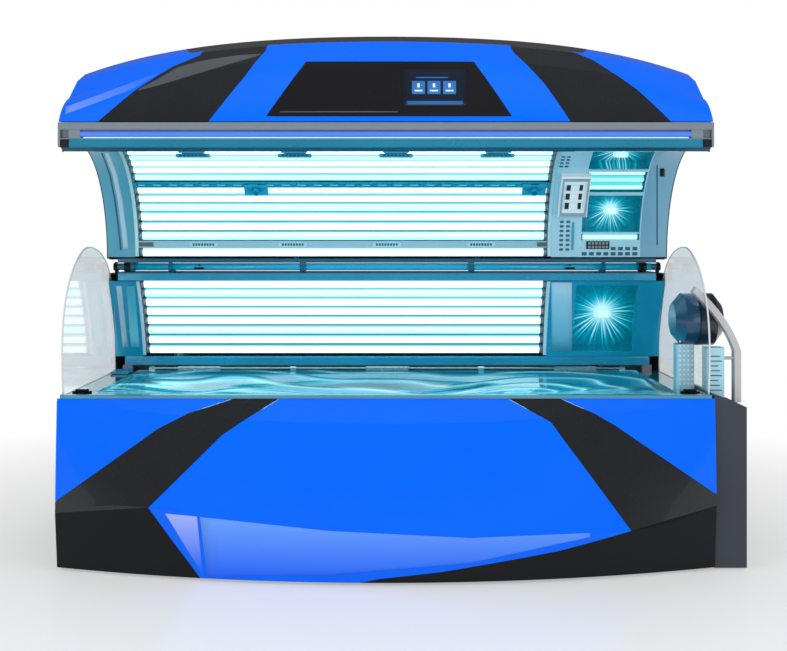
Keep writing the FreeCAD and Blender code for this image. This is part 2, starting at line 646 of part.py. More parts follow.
def build_base_services():
    ballasts = []
    for column in range(6):
        x = -760.0 + column * 230.0 + (210.0 if column > 2 else 0.0)
        body = box(x - 95, x + 95, -300, -220, 43, 103)
        foot = box(x - 110, x + 110, -300, -220, FRAME_BOTTOM_Z + FIT, 43)
        ballasts.append(body.fuse(foot))
    nodes["base_ballasts"] = group(ballasts)

    front = REAR_Y - 50
    back = REAR_Y - COVER_WALL - FIT
    ring = rod(FAN_RADIUS + 12, Vector(FAN_X, front, FAN_Z), Vector(FAN_X, back, FAN_Z))
    ring = ring.cut(rod(FAN_RADIUS, Vector(FAN_X, front - 1, FAN_Z), Vector(FAN_X, back + 1, FAN_Z)))
    motor = rod(26, Vector(FAN_X, front - 20, FAN_Z), Vector(FAN_X, front + 8, FAN_Z))
    spider = [motor]
    for k in range(3):
        arm = box(-4, 4, front, front + 6, 0, FAN_RADIUS + 4)
        arm.rotate(Vector(0, 0, 0), Vector(0, 1, 0), 120 * k)
        arm.translate(Vector(FAN_X, 0, FAN_Z))
        spider.append(arm)
    nodes["cooling_fan_housing"] = join([ring] + spider)
    hub = rod(28, Vector(FAN_X, front + 8 + FIT, FAN_Z), Vector(FAN_X, back - 6, FAN_Z))
    blades = [hub]
    for k in range(7):
        blade = box(-1.5, 1.5, -12, 12, 24, FAN_RADIUS - 6)
        blade.rotate(Vector(0, 0, 0), Vector(0, 0, 1), 40)
        blade.rotate(Vector(0, 0, 0), Vector(0, 1, 0), 360.0 * k / 7)
        blade.translate(Vector(FAN_X, (front + 10 + back - 6) / 2, FAN_Z))
        blades.append(blade)
    nodes["cooling_fan_wheel"] = join(blades)


# ---------------------------------------------------------------- canopy skin
def canopy_path(x):
    drop = CROWN_DROP * (abs(x) / CROWN_DROP_SPAN) ** CROWN_DROP_POWER
    rear = CANOPY_REAR_Y
    return [
        (LIP_Y, LIP_Z),
        ((LIP_Y + BROW_Y) / 2 - 16, (LIP_Z + BROW_Z) / 2 - 0.45 * drop),
        (BROW_Y, BROW_Z - drop),
        ((BROW_Y + CROWN_Y) / 2, (BROW_Z + CROWN_Z) / 2 + 18 - drop),
        (CROWN_Y, CROWN_Z - drop),
        (CROWN_Y + 150, CROWN_Z + 4 - drop),
        (rear - 350, CROWN_Z - 32 - drop),
        (rear - 220, CROWN_Z - 100 - 0.9 * drop),
        (rear - 110, CROWN_Z - 200 - 0.8 * drop),
        (rear - 35, CROWN_Z - 330 - 0.5 * drop),
        (rear, CROWN_Z - 480),
        (rear, CANOPY_BOTTOM_Z + 18),
        (rear - 15, CANOPY_BOTTOM_Z),
        (HINGE_Y + 42, CANOPY_BOTTOM_Z),
    ]


def build_canopy_skin():
    stations = [CANOPY_HALF * share for share in (-1.0, -0.52, 0.0, 0.52, 1.0)]
    whole = skin(stations, canopy_path, [0] + list(range(2, 14)), WALL)
    under = LIP_Z - 20
    over = CROWN_Z + 40
    bezel = [(-427, 1615), (-293, 1828), (321, 1828), (449, 1615), (-427, 1615)]
    screen = [(58, 1652), (58, 1800), (294, 1800), (294, 1652), (58, 1652)]
    front_seams = [
        [(-1042, under), (-906, 1719), (-790, 1817), (-700, 1866), (-640, over)],
        [(-645, under), (-517, 1763), (-452, 1881), (-440, over)],
        [(669, under), (576, 1736), (477, 1872), (440, over)],
        [(1030, under), (909, 1721), (772, 1847), (700, 1885), (650, over)],
        bezel,
        screen,
    ]
    past = CANOPY_HALF + 60
    top_seams = [
        [(-past, BAND_REAR_Y), (past, BAND_REAR_Y)],
        [(-800, BAND_REAR_Y), (-740, BAND_FRONT_Y), (740, BAND_FRONT_Y), (800, BAND_REAR_Y)],
    ]
    cutters = []
    for line in front_seams:
        cutters += seam_cutter(line, "y", LIP_Y - 60, BAND_FRONT_Y)
    for line in top_seams:
        cutters += seam_cutter(line, "z", LIP_Z + 100, over)
    pieces = whole.cut(group(cutters)).Solids

    def front_piece(x, z):
        return panel_at(pieces, Vector(x, LIP_Y - 200, z), Vector(x, BAND_FRONT_Y, z))

    def top_piece(x, y):
        return panel_at(pieces, Vector(x, y, over), Vector(x, y, LIP_Z + 100))

    nodes["canopy_shell_center"] = front_piece(-470, 1700)
    nodes["canopy_shell_sides"] = group([front_piece(-1100, 1640), front_piece(1100, 1640)])
    stripes = [front_piece(-750, 1700), front_piece(770, 1700), top_piece(0, (BAND_FRONT_Y + BAND_REAR_Y) / 2)]
    nodes["canopy_stripes"] = group(stripes)
    nodes["display_bezel"] = front_piece(-200, 1700)
    nodes["display_screen"] = front_piece(170, 1720)
    nodes["canopy_rear_cover"] = top_piece(0, CANOPY_REAR_Y - 250)

    outer = inward(canopy_path(CANOPY_HALF), WALL + FIT)
    outline = [(LIP_Y + WALL, RAIL_BOTTOM_Z + 4)] + outer + [(HINGE_Y - 12, CANOPY_BOTTOM_Z + WALL + FIT)]
    core = rod_x(SHEET_RADIUS, -CANOPY_HALF - 10, CANOPY_HALF + 10, ARC_Y, ARC_Z)
    past = CANOPY_HALF + 10
    rail_room = box(-past, past, LIP_Y - 5, RAIL_BACK_Y + FIT, RAIL_BOTTOM_Z - 20, LIP_Z)
    rail_room = rail_room.fuse(box(-past, past, LIP_Y - 5, LIP_Y + 33, RAIL_BOTTOM_Z - 20, RAIL_BOTTOM_Z + 35))
    covers = []
    for x in (-END_WALL_X - 2, END_WALL_X - 2):
        covers.append(prism(outline, "x", x, x + 4).cut(group([core, rail_room])))
    nodes["canopy_end_covers"] = group(covers)


def build_front_rail():
    top = LIP_Z - WALL
    face = LIP_Y
    rail = [
        (face, top), (face, 1567), (face + 19, 1567), (face + 19, 1537), (face + 3, 1537), (face + 3, 1533),
        (face + 11, 1533), (face + 11, 1504), (face + 30, 1492.5), (face + 32, 1496), (face + 15, 1507),
        (face + 15, 1533), (RAIL_BACK_Y, 1537), (RAIL_BACK_Y, top),
    ]
    pieces = [prism(rail, "x", -END_WALL_X, END_WALL_X)]
    tube_half = END_WALL_X - 72.0
    for side in (-1, 1):
        x0, x1 = sorted((side * (tube_half + FIT), side * (END_WALL_X - 30)))
        pieces.append(box(x0, x1, face + 1, face + 19 - FIT, 1537 + FIT, 1567 - FIT))
        x0, x1 = sorted((side * (END_WALL_X + FIT), side * (END_WALL_X + 9)))
        cap = box(x0, x1, face, RAIL_BACK_Y, RAIL_BOTTOM_Z, top)
        pieces.append(cap.makeFillet(3.0, [edge for edge in cap.Edges if abs(edge.Length - (x1 - x0)) > 1
                                           and abs(edge.CenterOfMass.x) > END_WALL_X + 8]))
    nodes["front_rail"] = group(pieces)
    nodes["light_tube"] = rod_x(9.0, -tube_half, tube_half, face + 9.6, 1552)
    bumpers = []
    for side in (-1, 1):
        x0, x1 = sorted((side * (END_WALL_X - 28), side * (END_WALL_X - 2)))
        bumper = box(x0, x1, face - 2, face + 11 - FIT, RAIL_BOTTOM_Z - 2, 1533 - FIT)
        bumpers.append(bumper.makeFillet(4.0, [edge for edge in bumper.Edges if edge.CenterOfMass.y < face - 1]))
    nodes["rail_bumpers"] = group(bumpers)


def head_band(inner, outer, start, end, x0=HEAD_LEFT_X + 5, x1=HEAD_RIGHT_X - 5):
    return arc_band(inner, outer, start, end, x0, x1)


def build_canopy_inside():
    left = LAMP_LEFT_X
    right = LAMP_RIGHT_X
    socket = SOCKET
    sheet_out = SHEET_RADIUS + SHEET_WALL
    front_band = box(30 - END_WALL_X, END_WALL_X - 30, LIP_Y + 4, LIP_Y + 11 - FIT, RAIL_BOTTOM_Z, 1533 - FIT)
    nodes["canopy_sheet"] = group([
        arc_band(SHEET_RADIUS, sheet_out, SHEET_START, SHEET_END, left, right),
        front_band,
    ])
    nodes["canopy_cheeks"] = group([
        arc_band(SHEET_RADIUS, sheet_out, SHEET_START, SHEET_END, -END_WALL_X + 2 + FIT, left - FIT),
        arc_band(SHEET_RADIUS, sheet_out, SHEET_START, SHEET_END, HEAD_RIGHT_X + FIT, END_WALL_X - 2 - FIT),
    ])
    nodes["canopy_lamps"] = group([
        lamp(left + socket, right - socket, *arc_point(LAMP_ARC_RADIUS, angle)) for angle in LAMP_ANGLES
    ])
    nodes["canopy_lamp_holders"] = group([
        arc_band(sheet_out + FIT, REFLECTOR_RADIUS - FIT, 0.8, 115.8, left, left + socket - FIT),
        arc_band(sheet_out + FIT, REFLECTOR_RADIUS - FIT, 0.8, 115.8, right - socket + FIT, right),
        arc_band(sheet_out + FIT, REFLECTOR_RADIUS - FIT, 8.8, 52.8, HEAD_LEFT_X - 4, HEAD_LEFT_X - FIT),
        arc_band(sheet_out + FIT, REFLECTOR_RADIUS - FIT, 8.8, 52.8, HEAD_RIGHT_X + FIT, HEAD_RIGHT_X + 4),
    ])
    nodes["canopy_reflector"] = arc_band(REFLECTOR_RADIUS, REFLECTOR_RADIUS + REFLECTOR_WALL, 0.6, 116, left, right)

    strip_in = sheet_out + 2
    strip_out = strip_in + 4
    ends = (left + socket, right - socket)
    air = arc_band(strip_in, strip_out, AIR_ANGLE - 1.6, AIR_ANGLE + 1.6, *ends)
    count = 26
    pitch = (ends[1] - ends[0]) / count
    slots = [arc_band(strip_in - 2, strip_out + 2, AIR_ANGLE - 0.7, AIR_ANGLE + 0.7,
                      ends[0] + pitch * (i + 0.25), ends[0] + pitch * (i + 0.75)) for i in range(count)]
    vent = arc_band(strip_in, strip_out, VENT_ANGLE - 1.8, VENT_ANGLE + 1.8, *ends)
    holes = []
    for x in (-760.0, -390.0, 0.0, 390.0):
        holes.append(arc_band(strip_in - 2, strip_out + 2, VENT_ANGLE - 1.1, VENT_ANGLE + 1.1, x - 52, x + 52))
    pieces = [air.cut(group(slots)), vent.cut(group(holes))]
    for x in (-530.0, 597.0):
        plate = arc_band(SHEET_RADIUS - 9, SHEET_RADIUS - FIT, 36.5, 42.5, x - 48, x + 48)
        taper = prism([(x - 50, -200), (x + 50, -200), (x + 50, 400), (x - 50, 400)], "z", 1200, 1500)
        y, z = arc_point(SHEET_RADIUS - 14, 39.5)
        back_y, back_z = arc_point(SHEET_RADIUS - 2, 39.5)
        mouth = rod(15, Vector(x, *arc_point(SHEET_RADIUS - 24, 39.5)), Vector(x, back_y, back_z))
        mouth = mouth.cut(rod(11, Vector(x, *arc_point(SHEET_RADIUS - 25, 39.5)), Vector(x, y, z)))
        pieces.append(plate.common(taper).fuse(mouth))
    for x in (-702.0, -332.0, 36.0, 405.0):
        hood = arc_band(SHEET_RADIUS - 9, SHEET_RADIUS - FIT, 109, 116, x - 57, x + 57)
        corners = [(x - 57, 1520), (x + 57, 1520), (x + 42, 1480), (x - 42, 1480)]
        pieces.append(hood.common(prism(corners, "y", LIP_Y, ARC_Y)))
    nodes["canopy_air_strips"] = group(pieces)


def build_head_end():
    sheet_out = SHEET_RADIUS + SHEET_WALL
    panel = arc_band(SHEET_RADIUS, sheet_out, SHEET_START, SHEET_END, LAMP_RIGHT_X + FIT, HEAD_RIGHT_X)
    openings = [head_band(SHEET_RADIUS - 5, sheet_out + 5, start, end) for start, end in HEAD_WINDOWS]
    nodes["canopy_head_panel"] = panel.cut(group(openings))
    glass = [head_band(SHEET_RADIUS, sheet_out, start + 0.1, end - 0.1, HEAD_LEFT_X + 5.6, HEAD_RIGHT_X - 5.6)
             for start, end in HEAD_WINDOWS]
    nodes["canopy_facial_glass"] = group(glass)
    lamps = []
    for start, end in (HEAD_WINDOWS[0], HEAD_WINDOWS[2]):
        dish = head_band(sheet_out + FIT, REFLECTOR_RADIUS, start - 0.6, end + 0.6, HEAD_LEFT_X, HEAD_RIGHT_X)
        hollow = head_band(sheet_out, REFLECTOR_RADIUS - 4, start - 0.1, end + 0.1, HEAD_LEFT_X + 4, HEAD_RIGHT_X - 4)
        middle = (HEAD_LEFT_X + HEAD_RIGHT_X) / 2
        y, z = arc_point(sheet_out + 20, (start + end) / 2)
        bulb = rod_x(11, middle - 28, middle + 28, y, z)
        back_y, back_z = arc_point(REFLECTOR_RADIUS - 4 - FIT, (start + end) / 2)
        neck = rod(9, Vector(middle, y, z), Vector(middle, back_y, back_z))
        lamps += [dish.cut(hollow), bulb.fuse(neck)]
    for angle in HEAD_TUBE_ANGLES:
        y, z = arc_point(LAMP_ARC_RADIUS, angle)
        lamps.append(lamp(HEAD_LEFT_X, HEAD_RIGHT_X, y, z, LAMP_RADIUS - 2))
    nodes["canopy_facial_lamps"] = group(lamps)

    pod_in = SHEET_RADIUS - POD_DEPTH
    pod = arc_band(pod_in, SHEET_RADIUS - FIT, POD_START, POD_END, POD_LEFT_X, POD_RIGHT_X)
    rim = [edge for edge in pod.Edges if all(abs(math.hypot(v.Y - ARC_Y, v.Z - ARC_Z) - pod_in) < 0.5
                                             for v in edge.Vertexes)]
    pod = pod.makeChamfer(5.0, rim)
    middle = (POD_LEFT_X + POD_RIGHT_X) / 2
    for name, angle in KEYS.items():
        half_width = 38.0
        half_turn = 1.9
        well = arc_band(pod_in - 5, pod_in + KEY_DEPTH + KEY_TRAVEL + FIT, angle - half_turn - 0.1,
                        angle + half_turn + 0.1, middle - half_width - 1, middle + half_width + 1)
        pod = pod.cut(well)
        nodes[name] = arc_band(pod_in - 3, pod_in + KEY_DEPTH, angle - half_turn, angle + half_turn,
                               middle - half_width, middle + half_width)
    nodes["control_pod"] = pod


def build_canopy_frame():
    tube_end = FRAME_X + 8
    tube = tube_x(HINGE_TUBE_RADIUS, HINGE_PIN_RADIUS + FIT, -tube_end, tube_end, HINGE_Y, HINGE_Z)
    hollow = rod_x(HINGE_PIN_RADIUS + FIT, -tube_end - 1, tube_end + 1, HINGE_Y, HINGE_Z)
    shelf = CANOPY_BOTTOM_Z - FIT
    parts = [tube]
    for x in (50.0 - FRAME_X, -350.0, 350.0, FRAME_X - 50.0):
        hub = rod_x(22, x - 12, x + 12, HINGE_Y, HINGE_Z)
        arm = prism([(HINGE_Y, HINGE_Z - 22), (HINGE_Y + 90, HINGE_Z), (HINGE_Y + 90, shelf), (HINGE_Y, shelf)],
                    "x", x - 6, x + 6)
        parts += [hub, arm]
    end = (LIFT_OFFSET / math.cos(math.radians(HALF_TRAVEL)) + LIFT_OFFSET) / 2
    swing = end - LIFT_OFFSET + LIFT_PIN_RADIUS + LIFT_SLOT_GAP
    gap = LIFT_PIN_RADIUS + LIFT_SLOT_GAP
    for x in (-LEVER_X, LEVER_X):
        x0 = x - LEVER_WIDTH / 2
        x1 = x + LEVER_WIDTH / 2
        outline = [(0, -15), (0, 15), (end, 19), (end + swing + 12, 12), (end + swing + 12, -12), (end, -19)]
        lever = prism(outline, "x", x0, x1)
        slot = join([box(x0 - 1, x1 + 1, end - swing + gap, end + swing - gap, -gap, gap),
                     rod_x(gap, x0 - 1, x1 + 1, end - swing + gap, 0), rod_x(gap, x0 - 1, x1 + 1, end + swing - gap, 0)])
        lever = lever.cut(slot)
        lever.rotate(Vector(0, 0, 0), Vector(1, 0, 0), -HALF_TRAVEL)
        lever.translate(Vector(0, HINGE_Y, HINGE_Z))
        parts += [lever, rod_x(22, x0, x1, HINGE_Y, HINGE_Z)]
    angle = [(HINGE_Y - 14, 1080), (HINGE_Y - 14, 1097), (HINGE_Y - 11, 1097), (HINGE_Y - 11, 1083),
             (HINGE_Y + 38, 1083), (HINGE_Y + 38, 1080)]
    parts.append(prism(angle, "x", 2 - tube_end, tube_end - 2))
    carrier = join(parts).cut(hollow)

    ribs = []
    rib_in = REFLECTOR_RADIUS + REFLECTOR_WALL + FIT
    rib_out = rib_in + 38
    for x in (10.0 - FRAME_X, -380.0, 380.0, FRAME_X - 10.0):
        rib = arc_band(rib_in, rib_out, 2, 108, x - 10, x + 10)
        foot = box(x - 10, x + 10, HINGE_Y + 54, HINGE_Y + 80, CANOPY_BOTTOM_Z + WALL + FIT, CANOPY_BOTTOM_Z + 40)
        nose = box(x - 10, x + 10, RAIL_BACK_Y + FIT, RAIL_BACK_Y + 60, 1576, 1594)
        ribs += [rib, foot, nose]
    for turn in (12, 60, 100):
        y, z = arc_point((rib_in + rib_out) / 2, turn)
        ribs.append(box(10 - FRAME_X, FRAME_X - 10, y - 11, y + 11, z - 11, z + 11))
    nodes["canopy_reflector"] = group([nodes["canopy_reflector"], join(ribs)])
    nodes["canopy_frame"] = carrier


# ---------------------------------------------------------------- end fins, service box and blower
def build_fins():
    fins = []
    for side in (-1, 1):
        x0, x1 = sorted((side * FIN_X, side * (FIN_X + FIN_WALL)))
        base_z = DECK_TOP_Z + FIT
        front = [(-527, base_z), (-537, 727), (-490, 850), (-383, 990), (-262, 1128)]
        cap = [(-262, 1128), (-235, 1150), (-205, 1132)]
        edges = [edge_through(x0, front)]
        edges.append(Part.Arc(*[Vector(x0, y, z) for y, z in cap]).toShape())
        edges.append(edge_through(x0, [cap[-1], (225, base_z)]))
        edges.append(edge_through(x0, [(225, base_z), front[0]]))
        fin = Part.Face(Part.Wire(edges)).extrude(Vector(x1 - x0, 0, 0))
        if side > 0:
            fin = fin.cut(rod_x(BLOWER_DUCT_RADIUS + FIT, x0 - 1, x1 + 1, BLOWER_Y, BLOWER_Z))
        fins.append(fin)
    nodes["side_fins"] = group(fins)


def revolved(profile, y, z):
    """Closed (x, radius) profile turned about an X axis."""
    points = [Vector(x, y, z + r) for x, r in profile]
    face = Part.Face(Part.makePolygon(points + points[:1]))
    return face.revolve(Vector(0, y, z), Vector(1, 0, 0), 360)


def build_blower():
    y, z = BLOWER_Y, BLOWER_Z
    inner_end = FIN_X - FIT
    outer_start = FIN_X + FIN_WALL + FIT
    big = BLOWER_RADIUS
    duct = BLOWER_DUCT_RADIUS
    inner = revolved([(FIN_X - 81, 0), (FIN_X - 81, 60), (FIN_X - 48, big), (inner_end, big),
                      (inner_end, duct), (inner_end - 4, duct), (inner_end - 4, 0)], y, z)
    mouth = FIN_X + 96
    outer = revolved([(outer_start + 4, duct - 4), (inner_end - 4, duct - 4), (inner_end - 4, duct - FIT),
                      (outer_start, duct - FIT), (outer_start, big), (mouth - 30, big), (mouth, 60),
                      (mouth, 54), (mouth - 34, big - 5), (outer_start + 4, big - 5)], y, z)
    spider = []
    for k in range(4):
        arm = box(mouth - 6, mouth - 1, -3, 3, 8, 54)
        arm.rotate(Vector(0, 0, 0), Vector(1, 0, 0), 90 * k)
        arm.translate(Vector(0, y, z))
        spider.append(arm)
    motor = rod_x(20, mouth - 24, mouth - 1, y, z)
    nodes["blower_pod"] = group([inner, join([outer, motor] + spider)])
    wheel_end = mouth - 28
    wheel = [rod_x(14, wheel_end - 46, wheel_end + 4 - FIT, y, z)]
    for start in (wheel_end - 42, wheel_end - 3):
        wheel.append(revolved([(start, 12), (start, 66), (start + 3, 66), (start + 3, 12)], y, z))
    for k in range(9):
        blade = box(wheel_end - 41, wheel_end - 2, -1.5, 1.5, 40, 64)
        blade.rotate(Vector(0, 0, 0), Vector(1, 0, 0), 40 * k)
        blade.translate(Vector(0, y, z))
        wheel.append(blade)
    nodes["blower_wheel"] = join(wheel)

    column = box(FIN_X - 70, FIN_X - 4, y - 36, y + 36, DECK_TOP_Z + FIT, z - 40)
    column = column.makeFillet(14.0, [edge for edge in column.Edges if abs(edge.Length - (z - 40 - DECK_TOP_Z - FIT)) < 0.01])
    column = column.cut(rod_x(big + FIT, FIN_X - 90, FIN_X + 10, y, z))
    return column


def build_service_box(speaker_column):
    left = HALF_LENGTH + FIT
    right = BOX_RIGHT_X
    shelf = END_WALL_X + FIT
    outline = [(left, 6), (right, 6), (right, BOX_TOP_Z), (shelf, BOX_TOP_Z + 50), (shelf, BOX_TOP_Z + 45),
               (left, BOX_TOP_Z + 40)]
    body = prism(outline, "y", BOX_FRONT_Y, BOX_REAR_Y)
    hollow = prism([(left + 4, 10), (right - 4, 10), (right - 4, BOX_TOP_Z - 5), (left + 4, BOX_TOP_Z + 34)],
                   "y", BOX_FRONT_Y + 4, BOX_REAR_Y - 4)
    body = body.cut(hollow)
    pads = [rod(12, Vector(x, y, 0), Vector(x, y, 6))
            for x in (left + 22, right - 22) for y in (BOX_FRONT_Y + 40, BOX_REAR_Y - 40)]
    vents = [box(right - 6, right + 2, BOX_REAR_Y - 200, BOX_REAR_Y - 60, z, z + 8) for z in range(120, 260, 20)]
    nodes["service_box"] = join([body] + pads).cut(group(vents))

    def arch_edge(shrink):
        points = [(right - shrink, BOX_TOP_Z + 8), (right - shrink, 770), (right - 28 - 0.8 * shrink, 838 - 0.5 * shrink),
                  (right - 80 - 0.7 * shrink, 918 - 0.7 * shrink), (right - 163 - 0.5 * shrink, 1004 - 0.8 * shrink)]
        return [Vector(x, ARCH_Y, z) for x, z in points]

    def strip(points):
        curve = Part.BSplineCurve()
        curve.interpolate(points[1:])
        return [Part.makeLine(points[0], points[1]), curve.toShape()]

    outer = arch_edge(0)
    inner = arch_edge(ARCH_WIDTH)
    edges = strip(outer) + [Part.makeLine(outer[-1], inner[-1])] + strip(inner)[::-1] + [Part.makeLine(inner[0], outer[0])]
    arch = Part.Face(Part.Wire(edges)).extrude(Vector(0, ARCH_DEPTH, 0))
    foot_cut = prism([(1100, 400), (1400, 400), (1400, BOX_TOP_Z + FIT - (1400 - right) * BOX_SLOPE),
                      (1100, BOX_TOP_Z + FIT + (right - 1100) * BOX_SLOPE)], "y", ARCH_Y - 5, ARCH_Y + ARCH_DEPTH + 5)
    mid_y = ARCH_Y + ARCH_DEPTH / 2
    strut = rod(6, Vector(right - 90, mid_y, 912), Vector(right - 90, BLOWER_Y, BLOWER_Z))
    strut = strut.cut(rod_x(BLOWER_RADIUS + FIT, 1000, 1400, BLOWER_Y, BLOWER_Z))
    brace = rod(6, Vector(PANEL_RIGHT_X + FIT, mid_y, 745), Vector(right - ARCH_WIDTH / 2, mid_y, 745))
    nodes["arch_bracket"] = join([arch, strut, brace]).cut(foot_cut)

    info = box(END_WALL_X + FIT, PANEL_RIGHT_X, mid_y - 30, mid_y + 30, 560, 785)
    slope = prism([(1100, 400), (1400, 400), (1400, BOX_TOP_Z + FIT - (1400 - right) * BOX_SLOPE),
                   (1100, BOX_TOP_Z + FIT + (right - 1100) * BOX_SLOPE)], "y", mid_y - 40, mid_y + 40)
    nodes["head_columns"] = group([speaker_column, info.cut(slope)])


build_base_front()
build_frame()
build_rear_cover()
build_end_covers()
build_bench()
build_lower_wall()
build_hinge_fixed()
build_lift()
build_base_services()
build_canopy_skin()
build_front_rail()
build_canopy_inside()
build_head_end()
build_canopy_frame()
build_fins()
build_service_box(build_blower())

for name, shape in nodes.items():
    shape.exportStep("parts/" + name + ".step")
print(len(nodes), "nodes;", "not valid:", [name for name, shape in nodes.items() if not shape.isValid()])
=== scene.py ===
"""Looks for the clamshell tanning bed: materials, glowing lamps, clear sheets and fine pieces on the CAD frame.

Metres, in the CAD frame: X along the bed (head end at +X), Y to the rear, Z up. Angles on the canopy's arc are in
degrees: 0 points to the rear and 90 up.
"""
import math

import bmesh
import bpy
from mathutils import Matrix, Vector
from mathutils.bvhtree import BVHTree


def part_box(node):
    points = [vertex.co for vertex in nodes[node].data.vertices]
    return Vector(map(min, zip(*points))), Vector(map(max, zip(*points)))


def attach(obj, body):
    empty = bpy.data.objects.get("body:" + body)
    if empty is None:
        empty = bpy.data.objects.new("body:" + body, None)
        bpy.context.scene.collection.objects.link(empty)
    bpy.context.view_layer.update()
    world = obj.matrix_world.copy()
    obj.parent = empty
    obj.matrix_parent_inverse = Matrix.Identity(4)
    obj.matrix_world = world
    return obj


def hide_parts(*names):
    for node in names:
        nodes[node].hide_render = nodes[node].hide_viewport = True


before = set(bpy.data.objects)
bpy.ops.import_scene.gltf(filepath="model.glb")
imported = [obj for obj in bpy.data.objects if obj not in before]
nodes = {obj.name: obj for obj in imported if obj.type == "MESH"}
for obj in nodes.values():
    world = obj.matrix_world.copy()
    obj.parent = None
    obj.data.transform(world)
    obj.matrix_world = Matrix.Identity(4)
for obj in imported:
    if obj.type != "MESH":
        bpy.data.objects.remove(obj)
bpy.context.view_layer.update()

# ---------------------------------------------------------------- camera of the photograph
CAMERA = Vector((0.027, -4.66, 1.174))
FOCAL_PX = 1152.0
IMAGE_WIDTH = 787.0
IMAGE_HEIGHT = 651.0
HORIZON_PX = 240.0
SENSOR_MM = 36.0

camera_data = bpy.data.cameras.new("camera")
camera_data.sensor_width = SENSOR_MM
camera_data.lens = SENSOR_MM * FOCAL_PX / IMAGE_WIDTH
camera_data.shift_y = -(IMAGE_HEIGHT / 2 - HORIZON_PX) / IMAGE_WIDTH
camera_data.clip_end = 60.0
camera = bpy.data.objects.new("camera", camera_data)
camera.location = CAMERA
camera.rotation_euler = (math.radians(90), 0, 0)
bpy.context.scene.collection.objects.link(camera)
bpy.context.scene.camera = camera
bpy.context.scene.view_settings.view_transform = "Standard"

# ---------------------------------------------------------------- CAD values used here
HINGE_Y, HINGE_Z = 0.130, 1.063
HINGE_HALF = 1.096
ARC_Y, ARC_Z = -0.320, 1.100
SHEET_RADIUS = 0.440
LAMP_RADIUS = 0.019
LAMP_ARC_RADIUS = 0.466
LAMP_LEFT_X, LAMP_RIGHT_X = -1.045, 0.680
HEAD_LEFT_X, HEAD_RIGHT_X = 0.800, 1.050
SOCKET = 0.014
LAMP_STEP = 5.2
LAMP_ANGLES = [3.0] + [11.5 + LAMP_STEP * i for i in range(6)] + [46.0 + LAMP_STEP * i for i in range(14)]
HEAD_TUBE_ANGLES = [49.5, 44.6, 39.7, 11.0]
HEAD_TUBE_RADIUS, HEAD_TUBE_CAP = 0.0174, 0.006
FACIAL_TOP, FACIAL_LOW = 63.0, 24.75  # angles of the two facial lamps
BULB_ARC_RADIUS, BULB_X = 0.463, 0.925
WALL_BULB_OFFSET, WALL_BULB_X = 0.034, 0.9175
WALL_TOP, WALL_BOTTOM, WALL_BOW = (0.130, 1.003), (0.268, 0.677), 0.016
WALL_LAMPS, WALL_LAMP_GAP = 8, 0.005
BENCH_LAMPS = 15
BENCH_HALF = 1.055
BENCH_TOP_Z = 0.622
BENCH_SHEET = 0.006
BENCH_STATIONS = [-BENCH_HALF, 0.355 - BENCH_HALF, 0.0, BENCH_HALF - 0.415, BENCH_HALF - 0.215, BENCH_HALF]
BENCH_DIPS = [0.014, 0.052, 0.078, 0.038, 0.022, 0.030]
BODY_HOLLOWS = (((-0.42, -0.15), (1.05, 0.36)), ((0.52, -0.15), (0.50, 0.30)))  # centre and reach in X and Y
DECK_Z = 0.618
RAIL_LIP_Z, RAIL_FACE_Z = 1.5030, 1.5060  # dark lip below, bare metal above
VENT_ANGLE, VENT_CENTRES = 7.3, (-0.760, -0.390, 0.0, 0.390)
HOOD_CENTRES = (-0.702, -0.332, 0.036, 0.405)
NOZZLE_ANGLE, NOZZLE_CENTRES = 39.5, (-0.530, 0.597)
POD_X, POD_ANGLES, POD_RADIUS = (0.7055, 0.8145), (24.2, 50.3), 0.414
POD_RIM_ANGLE, POD_RIM = 2.2, 0.008
BLOWER_SEAM_X = 1.153


